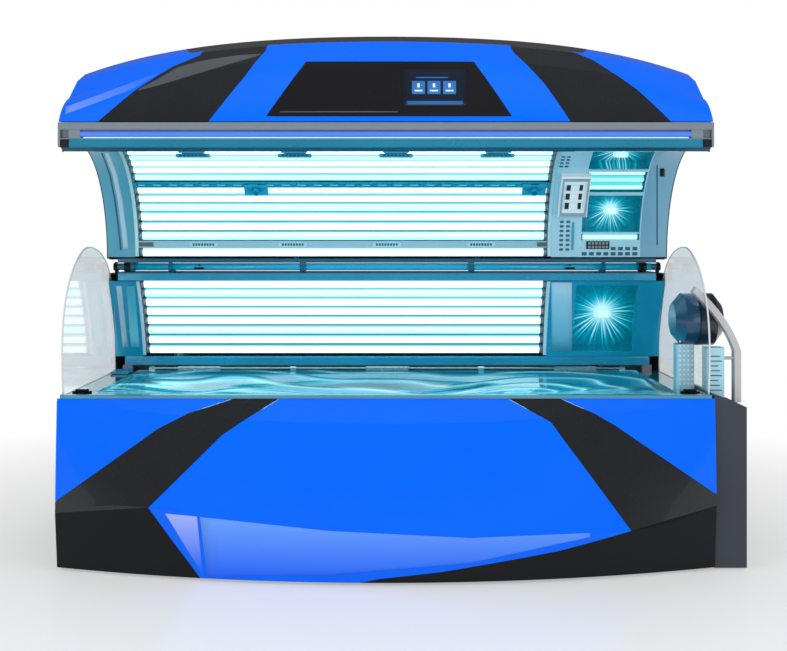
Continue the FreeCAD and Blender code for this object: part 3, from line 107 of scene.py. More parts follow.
# ---------------------------------------------------------------- material helpers
class Mat:
    """A node material with short calls for the few node kinds used here."""

    def __init__(self, name):
        self.mat = bpy.data.materials.new(name)
        self.mat.use_nodes = True
        self.tree = self.mat.node_tree
        self.shader = self.tree.nodes["Principled BSDF"]
        self.place = self.node("TexCoord").outputs["Object"]

    def set(self, **values):
        for key, value in values.items():
            self.shader.inputs[key.replace("_", " ")].default_value = value

    def node(self, kind, **fields):
        made = self.tree.nodes.new("ShaderNode" + kind)
        for key, value in fields.items():
            setattr(made, key, value)
        return made

    def link(self, a, b):
        self.tree.links.new(a, b)

    def calc(self, operation, *values):
        """Math node; each value is a socket or a number."""
        made = self.node("Math", operation=operation)
        for socket, value in zip(made.inputs, values):
            if isinstance(value, float):
                socket.default_value = value
            else:
                self.link(value, socket)
        return made.outputs["Value"]

    def total(self, values):
        result = values[0]
        for value in values[1:]:
            result = self.calc("ADD", result, value)
        return result

    def vector(self, operation, value, other=None, output="Value"):
        """Vector maths on a socket, with a fixed second vector where it takes one."""
        made = self.node("VectorMath", operation=operation)
        self.link(value, made.inputs[0])
        if other:
            made.inputs[1].default_value = other
        return made.outputs[output]

    def span(self, value, low, high, start=0.0, end=1.0):
        """Maps a value that runs from start to end onto low to high."""
        made = self.node("MapRange")
        for name, number in (("From Min", start), ("From Max", end), ("To Min", low), ("To Max", high)):
            made.inputs[name].default_value = number
        self.link(value, made.inputs["Value"])
        return made.outputs["Result"]

    def mapped(self, scale, location=(0.0, 0.0, 0.0)):
        made = self.node("Mapping")
        made.inputs["Scale"].default_value = scale
        made.inputs["Location"].default_value = location
        self.link(self.place, made.inputs["Vector"])
        return made.outputs["Vector"]

    def noise(self, scale, detail=2.0, stretch=(1, 1, 1)):
        made = self.node("TexNoise")
        made.inputs["Scale"].default_value = scale
        made.inputs["Detail"].default_value = detail
        self.link(self.mapped(stretch), made.inputs["Vector"])
        return made.outputs["Fac"]

    def ramp(self, value, stops):
        made = self.node("ValToRGB")
        self.link(value, made.inputs["Fac"])
        ramp = made.color_ramp
        while len(ramp.elements) < len(stops):
            ramp.elements.new(0.5)
        for element, (place, colour) in zip(ramp.elements, stops):
            element.position = place
            element.color = (*colour, 1.0)
        return made.outputs["Color"]

    def shades(self, value, low, high, dark, light):
        """Colour that runs from dark to light as a value goes from low to high."""
        self.link(self.ramp(value, [(low, dark), (high, light)]), self.shader.inputs["Base Color"])

    def glow(self, colour, strength):
        self.link(colour, self.shader.inputs["Emission Color"])
        self.set(Emission_Strength=strength)

    def rough(self, value, low, high):
        self.link(self.span(value, low, high), self.shader.inputs["Roughness"])

    def bump(self, value, strength, distance):
        made = self.node("Bump")
        made.inputs["Strength"].default_value = strength
        made.inputs["Distance"].default_value = distance
        self.link(value, made.inputs["Height"])
        self.link(made.outputs["Normal"], self.shader.inputs["Normal"])

    def skin(self, roughness, grain, strength, depth):
        """Uneven gloss and a fine grain."""
        self.rough(self.noise(14.0, 4.0), roughness * 0.8, roughness * 1.25)
        self.bump(self.noise(grain), strength, depth)

    def axis(self, name):
        made = self.node("SeparateXYZ")
        self.link(self.place, made.inputs["Vector"])
        return made.outputs[name]


def tone(colour, factor):
    return tuple(min(1.0, c * factor) for c in colour)


def moulded(name, colour, roughness, coat=0.0, spread=0.10, grain=900.0, grain_depth=0.00003, shine=0.5):
    """Moulded or painted surface: slight colour drift, uneven gloss and a fine skin."""
    m = Mat(name)
    m.set(Coat_Weight=coat, Coat_Roughness=0.04, Specular_IOR_Level=shine)
    m.shades(m.noise(3.0), 0.3, 0.7, tone(colour, 1 - spread), tone(colour, 1 + spread))
    m.skin(roughness, grain, 0.25, grain_depth)
    return m.mat


def metal(name, colour, roughness, weight=1.0):
    """Brushed or drawn metal: fine lines along X."""
    m = Mat(name)
    m.set(Metallic=weight)
    lines = m.noise(30.0, 3.0, (1, 60, 60))
    m.shades(lines, 0.3, 0.7, tone(colour, 0.88), tone(colour, 1.08))
    m.rough(lines, roughness * 0.8, roughness * 1.3)
    m.bump(lines, 0.3, 0.00002)
    return m.mat


def clear(name, colour, roughness, ior):
    """Clear or tinted acrylic: very slightly wavy."""
    m = Mat(name)
    m.set(Transmission_Weight=1.0, IOR=ior)
    m.shades(m.noise(2.0), 0.3, 0.7, tone(colour, 0.97), tone(colour, 1.03))
    m.rough(m.noise(6.0), roughness * 0.6, roughness * 1.6)
    m.bump(m.noise(9.0, 1.0), 0.15, 0.0006)
    return m.mat


def glowing(name, colour, strength, base=(0.8, 0.9, 0.95)):
    """Lit phosphor tube or light pipe: a little dimmer where the coating is thicker."""
    m = Mat(name)
    m.set(Roughness=0.3)
    m.shades(m.noise(5.0), 0.3, 0.7, tone(base, 0.95), base)
    m.glow(m.ramp(m.noise(7.0, 1.0), [(0.25, tone(colour, 0.93)), (0.75, colour)]), strength)
    return m.mat


def hammered(name, colour, roughness, scale, depth):
    """Pressed reflector: small facets that scatter what they mirror."""
    m = Mat(name)
    m.set(Metallic=1.0)
    cells = m.node("TexVoronoi")
    cells.inputs["Scale"].default_value = scale
    m.link(m.place, cells.inputs["Vector"])
    m.shades(cells.outputs["Distance"], 0.0, 0.6, tone(colour, 1.1), tone(colour, 0.75))
    m.rough(m.noise(20.0), roughness * 0.7, roughness * 1.4)
    m.bump(cells.outputs["Distance"], 0.9, depth)
    return m.mat


def split_by_x(name, limit, left, right, roughness):
    """Two colours that meet at one X."""
    m = Mat(name)
    m.set(Coat_Weight=0.4, Coat_Roughness=0.05)
    m.shades(m.calc("GREATER_THAN", m.axis("X"), limit), 0.4, 0.6, left, right)
    m.skin(roughness, 300.0, 0.2, 0.00002)
    return m.mat


def fading(name, direction, low, high, first, last, roughness=0.3, weight=0.0):
    """Colour that changes evenly along one axis: X, Y or Z."""
    m = Mat(name)
    m.set(Coat_Weight=0.2, Coat_Roughness=0.05, Specular_IOR_Level=0.2, Metallic=weight)
    m.shades(m.span(m.axis(direction), 0.0, 1.0, low, high), 0.0, 1.0, first, last)
    m.skin(roughness, 300.0, 0.2, 0.00001)
    return m.mat


def painted_light_acrylic(name, colour, line_colour):
    """Tinted acrylic with painted lines of glow, standing in for reflected lamp light, that flow round the hollows
    moulded for the body.
    """
    m = Mat(name)
    m.set(Transmission_Weight=1.0, IOR=1.49)
    m.shades(m.noise(2.0), 0.3, 0.7, tone(colour, 0.97), tone(colour, 1.03))
    m.rough(m.noise(6.0), 0.02, 0.05)
    fields = [m.vector("LENGTH", m.mapped((1 / rx, 1 / ry, 0.0), (-x / rx, -y / ry, 0.0)))
              for (x, y), (rx, ry) in BODY_HOLLOWS]
    nearest = m.calc("SMOOTH_MIN", *fields, 0.5)
    sway = m.calc("MULTIPLY_ADD", m.noise(1.6, 1.0, (0.7, 1.6, 1.0)), 1.1, nearest)
    lines = m.calc("FRACT", m.calc("MULTIPLY", sway, 4.2))
    # Painted reflections: bright lines in the glow, dimmed away from the hollows.
    glow = m.ramp(lines, [(0.0, (0.0, 0.07, 0.10)), (0.45, (0.0, 0.16, 0.22)), (0.66, tone(line_colour, 0.35)),
                          (0.80, line_colour), (0.88, tone(line_colour, 0.3)), (1.0, (0.0, 0.07, 0.10))])
    inside = m.ramp(nearest, [(0.55, (1, 1, 1)), (0.95, (0.35, 0.45, 0.50))])
    dimmed = m.node("Mix", data_type="RGBA", blend_type="MULTIPLY")
    dimmed.inputs["Factor"].default_value = 1.0
    m.link(glow, dimmed.inputs["A"])
    m.link(inside, dimmed.inputs["B"])
    m.glow(dimmed.outputs["Result"], 0.5)
    m.bump(m.ramp(lines, [(0.0, (0, 0, 0)), (0.7, (1, 1, 1)), (1.0, (0, 0, 0))]), 0.5, 0.004)
    return m.mat


def painted_burst_strength(m, centre, u, v, reach, streaks):
    """Strength of the painted star-like reflections round a bulb: streaks that fade with distance."""
    offset = m.vector("SUBTRACT", m.place, centre, "Vector")
    across, up = [m.vector("DOT_PRODUCT", offset, axis) for axis in (u, v)]
    wave = m.node("TexNoise", noise_dimensions="1D")
    wave.inputs["Scale"].default_value = streaks
    wave.inputs["Detail"].default_value = 1.0
    m.link(m.calc("ARCTAN2", across, up), wave.inputs["W"])
    sharp = m.span(wave.outputs["Fac"], 0.0, 1.0, 0.47, 0.66)
    fade = m.span(m.vector("LENGTH", offset), 1.0, 0.0, 0.015, reach)
    lean = m.span(up, 0.2, 1.0, reach * 0.5, -reach * 0.3)
    streak = m.calc("MULTIPLY", m.calc("MULTIPLY", sharp, lean), fade)
    return m.calc("ADD", streak, m.calc("POWER", fade, 4.0))


def burst_reflector(name, bursts):
    """Pleated reflector behind high-pressure lamps, with the bulbs' star-like reflections painted on as glow."""
    m = Mat(name)
    m.set(Metallic=0.6, Roughness=0.3)
    m.shades(m.noise(60.0), 0.3, 0.7, tone(BURST_BASE, 0.8), tone(BURST_BASE, 1.2))
    m.bump(m.noise(40.0), 0.5, 0.004)
    strength = m.total([painted_burst_strength(m, *burst) for burst in bursts])
    m.glow(m.ramp(strength, [(0.0, (0.0, 0.10, 0.14)), (0.22, (0.0, 0.42, 0.52)), (0.6, PAINTED_BURST_LIGHT)]), 0.9)
    return m.mat


def key_bars(name, spans, dark, light):
    """White key with dark bars between given X values."""
    m = Mat(name)
    bars = [m.calc("COMPARE", m.axis("X"), (x0 + x1) / 2, (x1 - x0) / 2) for x0, x1 in spans]
    m.shades(m.total(bars), 0.4, 0.6, light, dark)
    m.rough(m.noise(14.0), 0.25, 0.35)
    m.bump(m.noise(400.0), 0.2, 0.00002)
    return m.mat


# ---------------------------------------------------------------- materials
BLUE = (0.0, 0.137, 0.97)
GRAPHITE = (0.014, 0.016, 0.019)
TEAL = (0.0, 0.27, 0.46)
BURST_BASE = (0.01, 0.14, 0.20)
PAINTED_BURST_LIGHT = (0.85, 1.0, 1.0)

blue_gloss = moulded("blue_gloss", BLUE, 0.24, 0.12, 0.03, 30.0, 0.000003, 0.10)
graphite_gloss = moulded("graphite_gloss", GRAPHITE, 0.26, 0.25, 0.08, 20.0, 0.000002, 0.3)
# Lighter grey: a painted highlight where it covers the canopy stripe; also used for the bezel line and the vent
# strip's end caps.
graphite_trim_and_highlight = moulded("graphite_trim_and_highlight", (0.075, 0.083, 0.10), 0.24, 0.4, 0.12, 120.0)
black_satin = moulded("black_satin", (0.004, 0.005, 0.006), 0.36, spread=0.2, shine=0.2)
bezel_black = moulded("bezel_black", (0.010, 0.010, 0.012), 0.30, 0.15, 0.1, 20.0, 0.000002, 0.2)
black_rubber = moulded("black_rubber", (0.010, 0.010, 0.011), 0.65, spread=0.2, grain=500.0)
grey_satin = moulded("grey_satin", (0.040, 0.047, 0.060), 0.40, shine=0.3)
arch_grey = moulded("arch_grey", (0.47, 0.48, 0.50), 0.35, 0.3, 0.05)
teal_gloss = moulded("teal_gloss", TEAL, 0.25, 0.4)
teal_dark = moulded("teal_dark", (0.0, 0.085, 0.16), 0.30, 0.3, 0.12)
trim_teal = moulded("trim_teal", (0.05, 0.25, 0.34), 0.22, 0.5, 0.08)
band_teal = moulded("band_teal", (0.0, 0.20, 0.34), 0.28, 0.3, 0.08)
hood_teal = moulded("hood_teal", (0.0, 0.30, 0.48), 0.28, 0.3)
sleeve_teal = moulded("sleeve_teal", (0.0, 0.36, 0.58), 0.22, 0.6, 0.06)
strip_grey = moulded("strip_grey", (0.28, 0.50, 0.62), 0.3, 0.3, 0.06)
frame_line = moulded("frame_line", (0.34, 0.53, 0.66), 0.3, 0.3, 0.05)
pod_frame = moulded("pod_frame", (0.26, 0.36, 0.45), 0.3, 0.3, 0.05)
ice_gloss = moulded("ice_gloss", (0.33, 0.62, 0.74), 0.28, 0.4, 0.05)
ice_pale = moulded("ice_pale", (0.56, 0.74, 0.82), 0.30, 0.4, 0.05)
white_gloss = moulded("white_gloss", (0.80, 0.86, 0.90), 0.25, 0.4, 0.03)
deck_glass = moulded("deck_glass", (0.02, 0.17, 0.22), 0.12, 0.8, 0.15)
screen_glass = moulded("screen_glass", (0.004, 0.006, 0.014), 0.12, 0.8, 0.2, 200.0)
fin_rim = moulded("fin_rim", (0.62, 0.66, 0.68), 0.2, 0.5, 0.04)
frame_paint = moulded("frame_paint", (0.22, 0.23, 0.25), 0.38, spread=0.08, grain=400.0)
zinc_sheet = metal("zinc_sheet", (0.50, 0.52, 0.55), 0.40)
bright_steel = metal("bright_steel", (0.62, 0.63, 0.65), 0.25)
aluminium = metal("aluminium", (0.26, 0.32, 0.37), 0.40, 0.45)
mirror = hammered("mirror", (0.03, 0.26, 0.36), 0.22, 55.0, 0.004)

lamp_white = glowing("lamp_white", (0.90, 1.0, 1.0), 1.0)
lamp_cyan = glowing("lamp_cyan", (0.40, 0.96, 1.0), 1.0)
lamp_flank = glowing("lamp_flank", (0.30, 0.86, 0.95), 0.9, (0.02, 0.05, 0.06))
lamp_back = glowing("lamp_back", (0.02, 0.45, 0.56), 0.8, (0.02, 0.05, 0.06))
pipe_glow = glowing("pipe_glow", (0.05, 0.15, 0.72), 0.75, (0.05, 0.12, 0.40))
strip_glow = glowing("strip_glow", (0.35, 0.80, 0.98), 0.9, (0.4, 0.7, 0.9))
screen_field = glowing("screen_field", (0.004, 0.010, 0.022), 0.8, (0.004, 0.006, 0.014))
screen_tile = glowing("screen_tile", (0.03, 0.16, 0.48), 0.85, (0.01, 0.05, 0.15))
screen_bar = glowing("screen_bar", (0.02, 0.12, 0.40), 0.8, (0.01, 0.04, 0.12))
screen_mark = glowing("screen_mark", (0.55, 0.75, 0.95), 0.8, (0.3, 0.4, 0.5))
status_cell = glowing("status_cell", (0.20, 0.30, 0.34), 0.5, (0.05, 0.07, 0.08))

tunnel_acrylic = clear("tunnel_acrylic", (0.86, 0.99, 1.0), 0.02, 1.1)
facial_glass = clear("facial_glass", (0.62, 0.93, 0.98), 0.03, 1.12)
fin_acrylic = clear("fin_acrylic", (0.84, 0.88, 0.90), 0.05, 1.25)
# Bench sheet: its glowing lines are painted reflections of the lamps.
bench_acrylic = painted_light_acrylic("bench_acrylic", (0.12, 0.68, 0.84), (0.38, 0.90, 0.98))

cheek_tones = split_by_x("cheek_tones", 0.0, (0.05, 0.30, 0.43), (0.15, 0.36, 0.50), 0.3)
blower_halves = split_by_x("blower_halves", BLOWER_SEAM_X, (0.004, 0.055, 0.13), (0.006, 0.008, 0.012), 0.25)
key_face = key_bars("key_bars", [(0.724, 0.741), (0.776, 0.790)], (0.010, 0.012, 0.016), (0.78, 0.84, 0.88))
# Painted highlight on the divider: lighter towards the top.
divider_painted_highlight = fading("divider_painted_highlight", "Z", 0.70, 1.00, (0.10, 0.42, 0.60), (0.42, 0.70, 0.85))
# Painted light on the cheek panel: lighter towards the bottom.
panel_painted_light = fading("panel_painted_light", "Z", 0.70, 1.00, (0.16, 0.60, 0.74), (0.03, 0.36, 0.50))
# Painted reflection on the base's lower face: lighter blue towards the top.
lower_reflection_paint = fading("lower_reflection_paint", "Z", 0.03, 0.24, (0.005, 0.14, 0.97), (0.15, 0.37, 1.0))
# Painted reflection of the pale floor on the base's lower corner: lighter towards the top.
corner_reflection_paint = fading("corner_reflection_paint", "Z", 0.05, 0.36, (0.01, 0.15, 0.97), (0.60, 0.66, 1.0))
# Painted reflection on the canopy's blue side: lighter blue at the left end, fading along X.
wedge_reflection_paint = fading("wedge_reflection_paint", "X", -1.13, -0.85, (0.14, 0.27, 0.95), (0.02, 0.16, 0.95))
rail_metal = fading("rail_metal", "Z", RAIL_LIP_Z, RAIL_FACE_Z, (0.0, 0.085, 0.15), (0.26, 0.32, 0.37), 0.4, 0.45)


def paint(node_name, material):
    """Puts a material on a CAD node."""
    data = nodes[node_name].data
    data.materials.clear()
    data.materials.append(material)


NODE_LOOKS = (
    (blue_gloss, "base_panel_center base_panel_sides canopy_shell_center canopy_shell_sides"),
    (graphite_gloss, "base_stripes canopy_stripes canopy_rear_cover"),
    (black_satin, "kick_panels bench_latch_left bench_latch_right hinge_brackets"),
    (black_satin, "cooling_fan_housing cooling_fan_wheel blower_wheel"),
    (grey_satin, "base_rear_cover base_end_covers canopy_end_covers service_box"),
    (bright_steel, "leveling_feet bench_hinge_leaves bench_hinge_rod lift_rods"),
    (zinc_sheet, "floor_pan lift_cylinders base_ballasts"),
    (lamp_white, "bench_lamps wall_lamps canopy_lamps"),
    (teal_gloss, "wall_cheeks wall_rails canopy_air_strips"),
    (facial_glass, "wall_facial_glass canopy_facial_glass"),
    (ice_pale, "base_lamp_holders canopy_lamp_holders"),
    (ice_gloss, "canopy_head_panel head_columns"),
    (mirror, "base_reflectors canopy_reflector"),
    (key_face, "key_lamps key_fan key_start"),
    (frame_paint, "base_frame"), (trim_teal, "bench_front_trim"), (bench_acrylic, "bench_sheet"),
    (deck_glass, "end_decks"), (bezel_black, "display_bezel"), (screen_glass, "display_screen"),
    (rail_metal, "front_rail"), (pipe_glow, "light_tube"), (black_rubber, "rail_bumpers"),
    (tunnel_acrylic, "canopy_sheet"), (cheek_tones, "canopy_cheeks"), (white_gloss, "control_pod"),
    (teal_dark, "canopy_frame"), (fin_acrylic, "side_fins"), (arch_grey, "arch_bracket"),
    (blower_halves, "blower_pod"),
)
for look, node_names in NODE_LOOKS:
    for node_name in node_names.split():
        paint(node_name, look)


def piece(name, bm, body, *materials):
    """Turns a bmesh into an object on a CAD body, with the given materials."""
    mesh = mesh_of(name, bm)
    for material in materials:
        mesh.materials.append(material)
    made = bpy.data.objects.new(name, mesh)
    bpy.context.scene.collection.objects.link(made)
    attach(made, body)
    return made


def mesh_of(name, bm):
    bmesh.ops.recalc_face_normals(bm, faces=bm.faces)
    mesh = bpy.data.meshes.new(name)
    bm.to_mesh(mesh)
    bm.free()
    return mesh


def arc_point(radius, degrees, x=0.0):
    turn = math.radians(degrees)
    return Vector((x, ARC_Y + radius * math.cos(turn), ARC_Z + radius * math.sin(turn)))


def wall_point(share, offset=0.0, x=0.0):
    """Point on the bowed lower wall at a share of its height from the top, offset behind its face."""
    y = WALL_TOP[0] + (WALL_BOTTOM[0] - WALL_TOP[0]) * share
    z = WALL_TOP[1] + (WALL_BOTTOM[1] - WALL_TOP[1]) * share
    length = math.hypot(WALL_BOTTOM[0] - WALL_TOP[0], WALL_BOTTOM[1] - WALL_TOP[1])
    depth = offset + WALL_BOW * 4 * share * (1 - share)
    return Vector((x, y + (WALL_TOP[1] - WALL_BOTTOM[1]) / length * depth,
                   z + (WALL_BOTTOM[0] - WALL_TOP[0]) / length * depth))


def ring(bm, x, y, z, radius, sides):
    """Round of vertices about an X axis through (y, z)."""
    return [bm.verts.new((x, y + radius * math.cos(2 * math.pi * k / sides),
                          z + radius * math.sin(2 * math.pi * k / sides))) for k in range(sides)]


def bands(rings):
    """Four vertices of each face between neighbouring rings, with the band's and the face's number."""
    for band, (a, b) in enumerate(zip(rings[:-1], rings[1:])):
        for k in range(len(a)):
            following = (k + 1) % len(a)
            yield band, k, (a[k], a[following], b[following], b[k])


def skin_rings(bm, rings, material=0, smooth=False):
    """Joins rings of vertices and closes both ends; the ends have the first material."""
    for _, _, verts in bands(rings):
        face = bm.faces.new(verts)
        face.material_index = material
        face.smooth = smooth
    bm.faces.new(rings[0])
    bm.faces.new(rings[-1])


def turned(bm, profile, y, z, sides):
    """Adds a closed round form about an X axis through (y, z); profile is (x, radius) pairs."""
    skin_rings(bm, [ring(bm, x, y, z, radius, sides) for x, radius in profile], smooth=True)


def plate(bm, top, under, soft=False):
    """Closes two grids of vertices into a thin plate; a soft one is smooth on every side."""
    def quad(*verts, smooth=soft):
        bm.faces.new(verts).smooth = smooth

    for r in range(len(top) - 1):
        for c in range(len(top[0]) - 1):
            quad(top[r][c], top[r][c + 1], top[r + 1][c + 1], top[r + 1][c], smooth=True)
            quad(under[r][c], under[r + 1][c], under[r + 1][c + 1], under[r][c + 1])
    for r in range(len(top) - 1):
        quad(top[r][0], top[r + 1][0], under[r + 1][0], under[r][0])
        quad(top[r][-1], under[r][-1], under[r + 1][-1], top[r + 1][-1])
    for c in range(len(top[0]) - 1):
        quad(top[0][c], under[0][c], under[0][c + 1], top[0][c + 1])
        quad(top[-1][c], top[-1][c + 1], under[-1][c + 1], under[-1][c])


def block(bm, low, high, bevel=0.0, material=0):
    """Adds a box, with softened edges where a bevel is given."""
    made = bmesh.ops.create_cube(bm, size=1.0)
    for vert in made["verts"]:
        vert.co = Vector([low[i] + (vert.co[i] + 0.5) * (high[i] - low[i]) for i in range(3)])
    faces = {face for vert in made["verts"] for face in vert.link_faces}
    for face in faces:
        face.material_index = material
    if bevel:
        edges = list({edge for face in faces for edge in face.edges})
        bmesh.ops.bevel(bm, geom=edges, offset=bevel, segments=2, affect="EDGES", material=-1)


# ---------------------------------------------------------------- placing by the photograph's view
def surface_of(node_name):
    """Search tree over the faces of a CAD node."""
    node = nodes[node_name]
    verts = [node.matrix_world @ v.co for v in node.data.vertices]
    return BVHTree.FromPolygons(verts, [list(polygon.vertices) for polygon in node.data.polygons])


def seen_at(tree, px, py):
    """Point and outward normal where the camera's ray through a pixel meets a surface."""
    way = Vector(((px - IMAGE_WIDTH / 2) / FOCAL_PX, 1.0, (HORIZON_PX - py) / FOCAL_PX)).normalized()
    spot, normal, _, _ = tree.ray_cast(CAMERA, way)
    if spot is None:
        raise ValueError("no surface at pixel %.1f, %.1f" % (px, py))
    if normal.dot(way) > 0:
        normal = -normal
    return spot, normal


def along(line, share):
    """Point at a share of a polyline's steps."""
    place = share * (len(line) - 1)
    i = min(int(place), len(line) - 2)
    return tuple(a + (b - a) * (place - i) for a, b in zip(line[i], line[i + 1]))


def add_patch(bm, tree, left, right, lift, depth, rows, columns):
    """Thin plate that follows a surface, between two edges given in pixels of the camera's view."""
    top, under = [], []
    for r in range(rows + 1):
        a, b = along(left, r / rows), along(right, r / rows)
        seen = [seen_at(tree, *along((a, b), c / columns)) for c in range(columns + 1)]
        top.append([bm.verts.new(spot + normal * lift) for spot, normal in seen])
        under.append([bm.verts.new(spot + normal * (lift - depth)) for spot, normal in seen])
    plate(bm, top, under)


def patch(name, carrier, left, right, body, material, lift=0.0006, depth=0.0012, rows=16, columns=16):
    bm = bmesh.new()
    add_patch(bm, surface_of(carrier), left, right, lift, depth, rows, columns)
    piece(name, bm, body, material)


def tiles(name, carrier, rects, body, material, lift=0.0008, depth=0.0014, steps=3):
    """Small plates on a surface; each is (left, top, right, bottom) in pixels."""
    bm = bmesh.new()
    tree = surface_of(carrier)
    for x0, y0, x1, y1 in rects:
        add_patch(bm, tree, [(x0, y0), (x0, y1)], [(x1, y0), (x1, y1)], lift, depth, steps, steps)
    piece(name, bm, body, material)


# ---------------------------------------------------------------- lamps
LAMP_LOOKS = (lamp_white, lamp_cyan, lamp_flank, lamp_back, aluminium)
WHITE, CYAN, FLANK, BACK, CAP = range(5)
GLASS_BAND = 1  # the band between the two metal caps
FLANK_CUT = 0.25


def lamp_bank(name, body, tubes, x0, x1, cyan_every, sides=24, cap=0.016, radius=LAMP_RADIUS, core_cut=0.62):
    """Smooth tubes with metal ends. The side towards the user glows most, the flanks are tinted.

    Each tube is (y, z, direction towards the user); core_cut and FLANK_CUT are cosines from that direction.
    """
    bm = bmesh.new()
    for index, (y, z, front) in enumerate(tubes):
        core = CYAN if index % cyan_every == 1 else WHITE
        rings = [ring(bm, x, y, z, radius, sides) for x in (x0, x0 + cap, x1 - cap, x1)]
        for band, k, verts in bands(rings):
            face = bm.faces.new(verts)
            face.smooth = True
            turn = 2 * math.pi * (k + 0.5) / sides
            facing = math.cos(turn) * front[0] + math.sin(turn) * front[1]
            if band != GLASS_BAND:
                face.material_index = CAP
            elif facing > core_cut:
                face.material_index = core
            else:
                face.material_index = FLANK if facing > FLANK_CUT else BACK
        for end in (rings[0], rings[-1]):
            bm.faces.new(end).material_index = CAP
    return piece(name, bm, body, *LAMP_LOOKS)


def arc_tubes(angles):
    """Tubes on the canopy's arc."""
    tubes = []
    for angle in angles:
        spot = arc_point(LAMP_ARC_RADIUS, angle)
        turn = math.radians(angle)
        tubes.append((spot.y, spot.z, (-math.cos(turn), -math.sin(turn))))
    return tubes


def build_lamps():
    left, right = LAMP_LEFT_X + SOCKET, LAMP_RIGHT_X - SOCKET
    made = lamp_bank("canopy_tubes", "canopy", arc_tubes(reversed(LAMP_ANGLES)), left, right, 3)
    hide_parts("canopy_lamps")

    back = ((WALL_TOP[1] - WALL_BOTTOM[1]), (WALL_BOTTOM[0] - WALL_TOP[0]))
    size = math.hypot(*back)
    front = (-back[0] / size, -back[1] / size)
    spots = [wall_point((i + 0.5) / WALL_LAMPS, LAMP_RADIUS + WALL_LAMP_GAP) for i in range(WALL_LAMPS)]
    made = lamp_bank("wall_tubes", "base", [(spot.y, spot.z, front) for spot in spots], left, right, 4)
    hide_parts("wall_lamps")

    low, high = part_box("bench_lamps")
    first, last = low[1] + LAMP_RADIUS, high[1] - LAMP_RADIUS
    tubes = [(first + (last - first) * i / (BENCH_LAMPS - 1), (low[2] + high[2]) / 2, (0.0, 1.0))
             for i in range(BENCH_LAMPS)]
    made = lamp_bank("bench_tubes", "base", tubes, low[0], high[0], 3)
    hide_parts("bench_lamps")

    lamp_bank("head_tubes", "canopy", arc_tubes(HEAD_TUBE_ANGLES), HEAD_LEFT_X + HEAD_TUBE_CAP,
              HEAD_RIGHT_X - HEAD_TUBE_CAP, 9, 36, HEAD_TUBE_CAP, HEAD_TUBE_RADIUS, 0.85)


# ---------------------------------------------------------------- painted highlights and reflections, screen and front rail
def build_front():
    # Painted highlight: a lighter grey strip on the canopy stripe where its gloss would mirror light.
    patch("painted_stripe_highlight", "canopy_stripes",
          [(138, 89.5), (158, 79.0), (178, 67.0), (205, 60.0), (240, 55.0), (261, 54.0)],
          [(139, 90.5), (160, 85.0), (185, 77.5), (210, 70.0), (240, 61.0), (262, 55.0)], "canopy", graphite_trim_and_highlight)
    tiles("bezel_line", "display_bezel", [(280, 111.2, 398, 112.4)], "canopy", graphite_trim_and_highlight)
    # Painted reflection: a light-blue wedge on the canopy's blue side.
    patch("painted_shell_reflection", "canopy_shell_sides", [(65.6, 107.0), (158.0, 73.0)],
          [(65.6, 114.0), (100.0, 101.5), (134.0, 88.5), (158.5, 74.0)], "canopy", wedge_reflection_paint)
    # Painted reflection: a lighter blue band on the lower face of the base front.
    patch("painted_lower_reflection", "base_panel_center", [(200.0, 517.0), (330.0, 531.0), (470.0, 538.0), (590.0, 533.0)],
          [(207.0, 577.0), (330.0, 574.5), (470.0, 563.0), (590.0, 537.0)], "base", lower_reflection_paint,
          rows=24, columns=10)
    # Painted reflection: a pale triangle at the lower left corner of the base front.
    patch("painted_corner_reflection", "base_panel_center", [(165.0, 513.5), (197.0, 516.5)], [(200.0, 570.0), (203.0, 576.0)],
          "base", corner_reflection_paint, rows=8, columns=12)

    glass = "display_screen"
    icons = [15.5 * i for i in range(3)]
    tiles("screen_field", glass, [(404.5, 69.0, 465.5, 105.4)], "canopy", screen_field, 0.0004, 0.001, 6)
    tiles("screen_tiles", glass, [(412 + x, 81.0, 425 + x, 94.0) for x in icons],
          "canopy", screen_tile, 0.0007, 0.001)
    tiles("screen_bars", glass, [(407, 101.0, 463, 104.4), (416, 77.0, 448, 78.2)],
          "canopy", screen_bar, 0.0007, 0.001)
    marks = [(414.5 + x, 90.0, 422.5 + x, 91.4) for x in icons]
    marks += [(417.3 + x, 83.5, 419.7 + x, 87.5) for x in icons]
    tiles("screen_marks", glass, marks, "canopy", screen_mark, 0.0010, 0.001)

    bm = bmesh.new()
    block(bm, (-1.128, -0.5580, 1.5052), (1.128, -0.5562, 1.5325), 0.0004)
    piece("rail_band", bm, "canopy", band_teal)
    bm = bmesh.new()
    block(bm, (-1.080, -0.5490, 1.5372), (1.080, -0.5440, 1.5412), 0.0006)
    piece("rail_light_line", bm, "canopy", strip_glow)


# ---------------------------------------------------------------- tunnel fittings
def on_arc(x, degrees, inset, up=0.0):
    """Point inside the canopy sheet: inset towards the centre, up along the arc."""
    return arc_point(SHEET_RADIUS - inset, degrees + math.degrees(up / SHEET_RADIUS), x)


def arc_block(bm, x0, x1, degrees, up0, up1, inset0, inset1, material=0):
    """Small block on the inner side of the canopy sheet."""
    grid = {}
    for i, x in enumerate((x0, x1)):
        for j, up in enumerate((up0, up1)):
            for k, inset in enumerate((inset0, inset1)):
                grid[i, j, k] = bm.verts.new(on_arc(x, degrees, inset, up))
    for fixed in range(3):
        for value in (0, 1):
            keys = [key for key in grid if key[fixed] == value]
            keys.sort(key=lambda key: (key[(fixed + 1) % 3], key[(fixed + 2) % 3]))
            a, b, c, d = keys
            bm.faces.new((grid[a], grid[b], grid[d], grid[c])).material_index = material


def raised(bm, x, degrees, half_x, half_up, top=0.0012):
    """Small raised rectangle round a point of the canopy sheet."""
    arc_block(bm, x - half_x, x + half_x, degrees, -half_up, half_up, 0.0002, top)


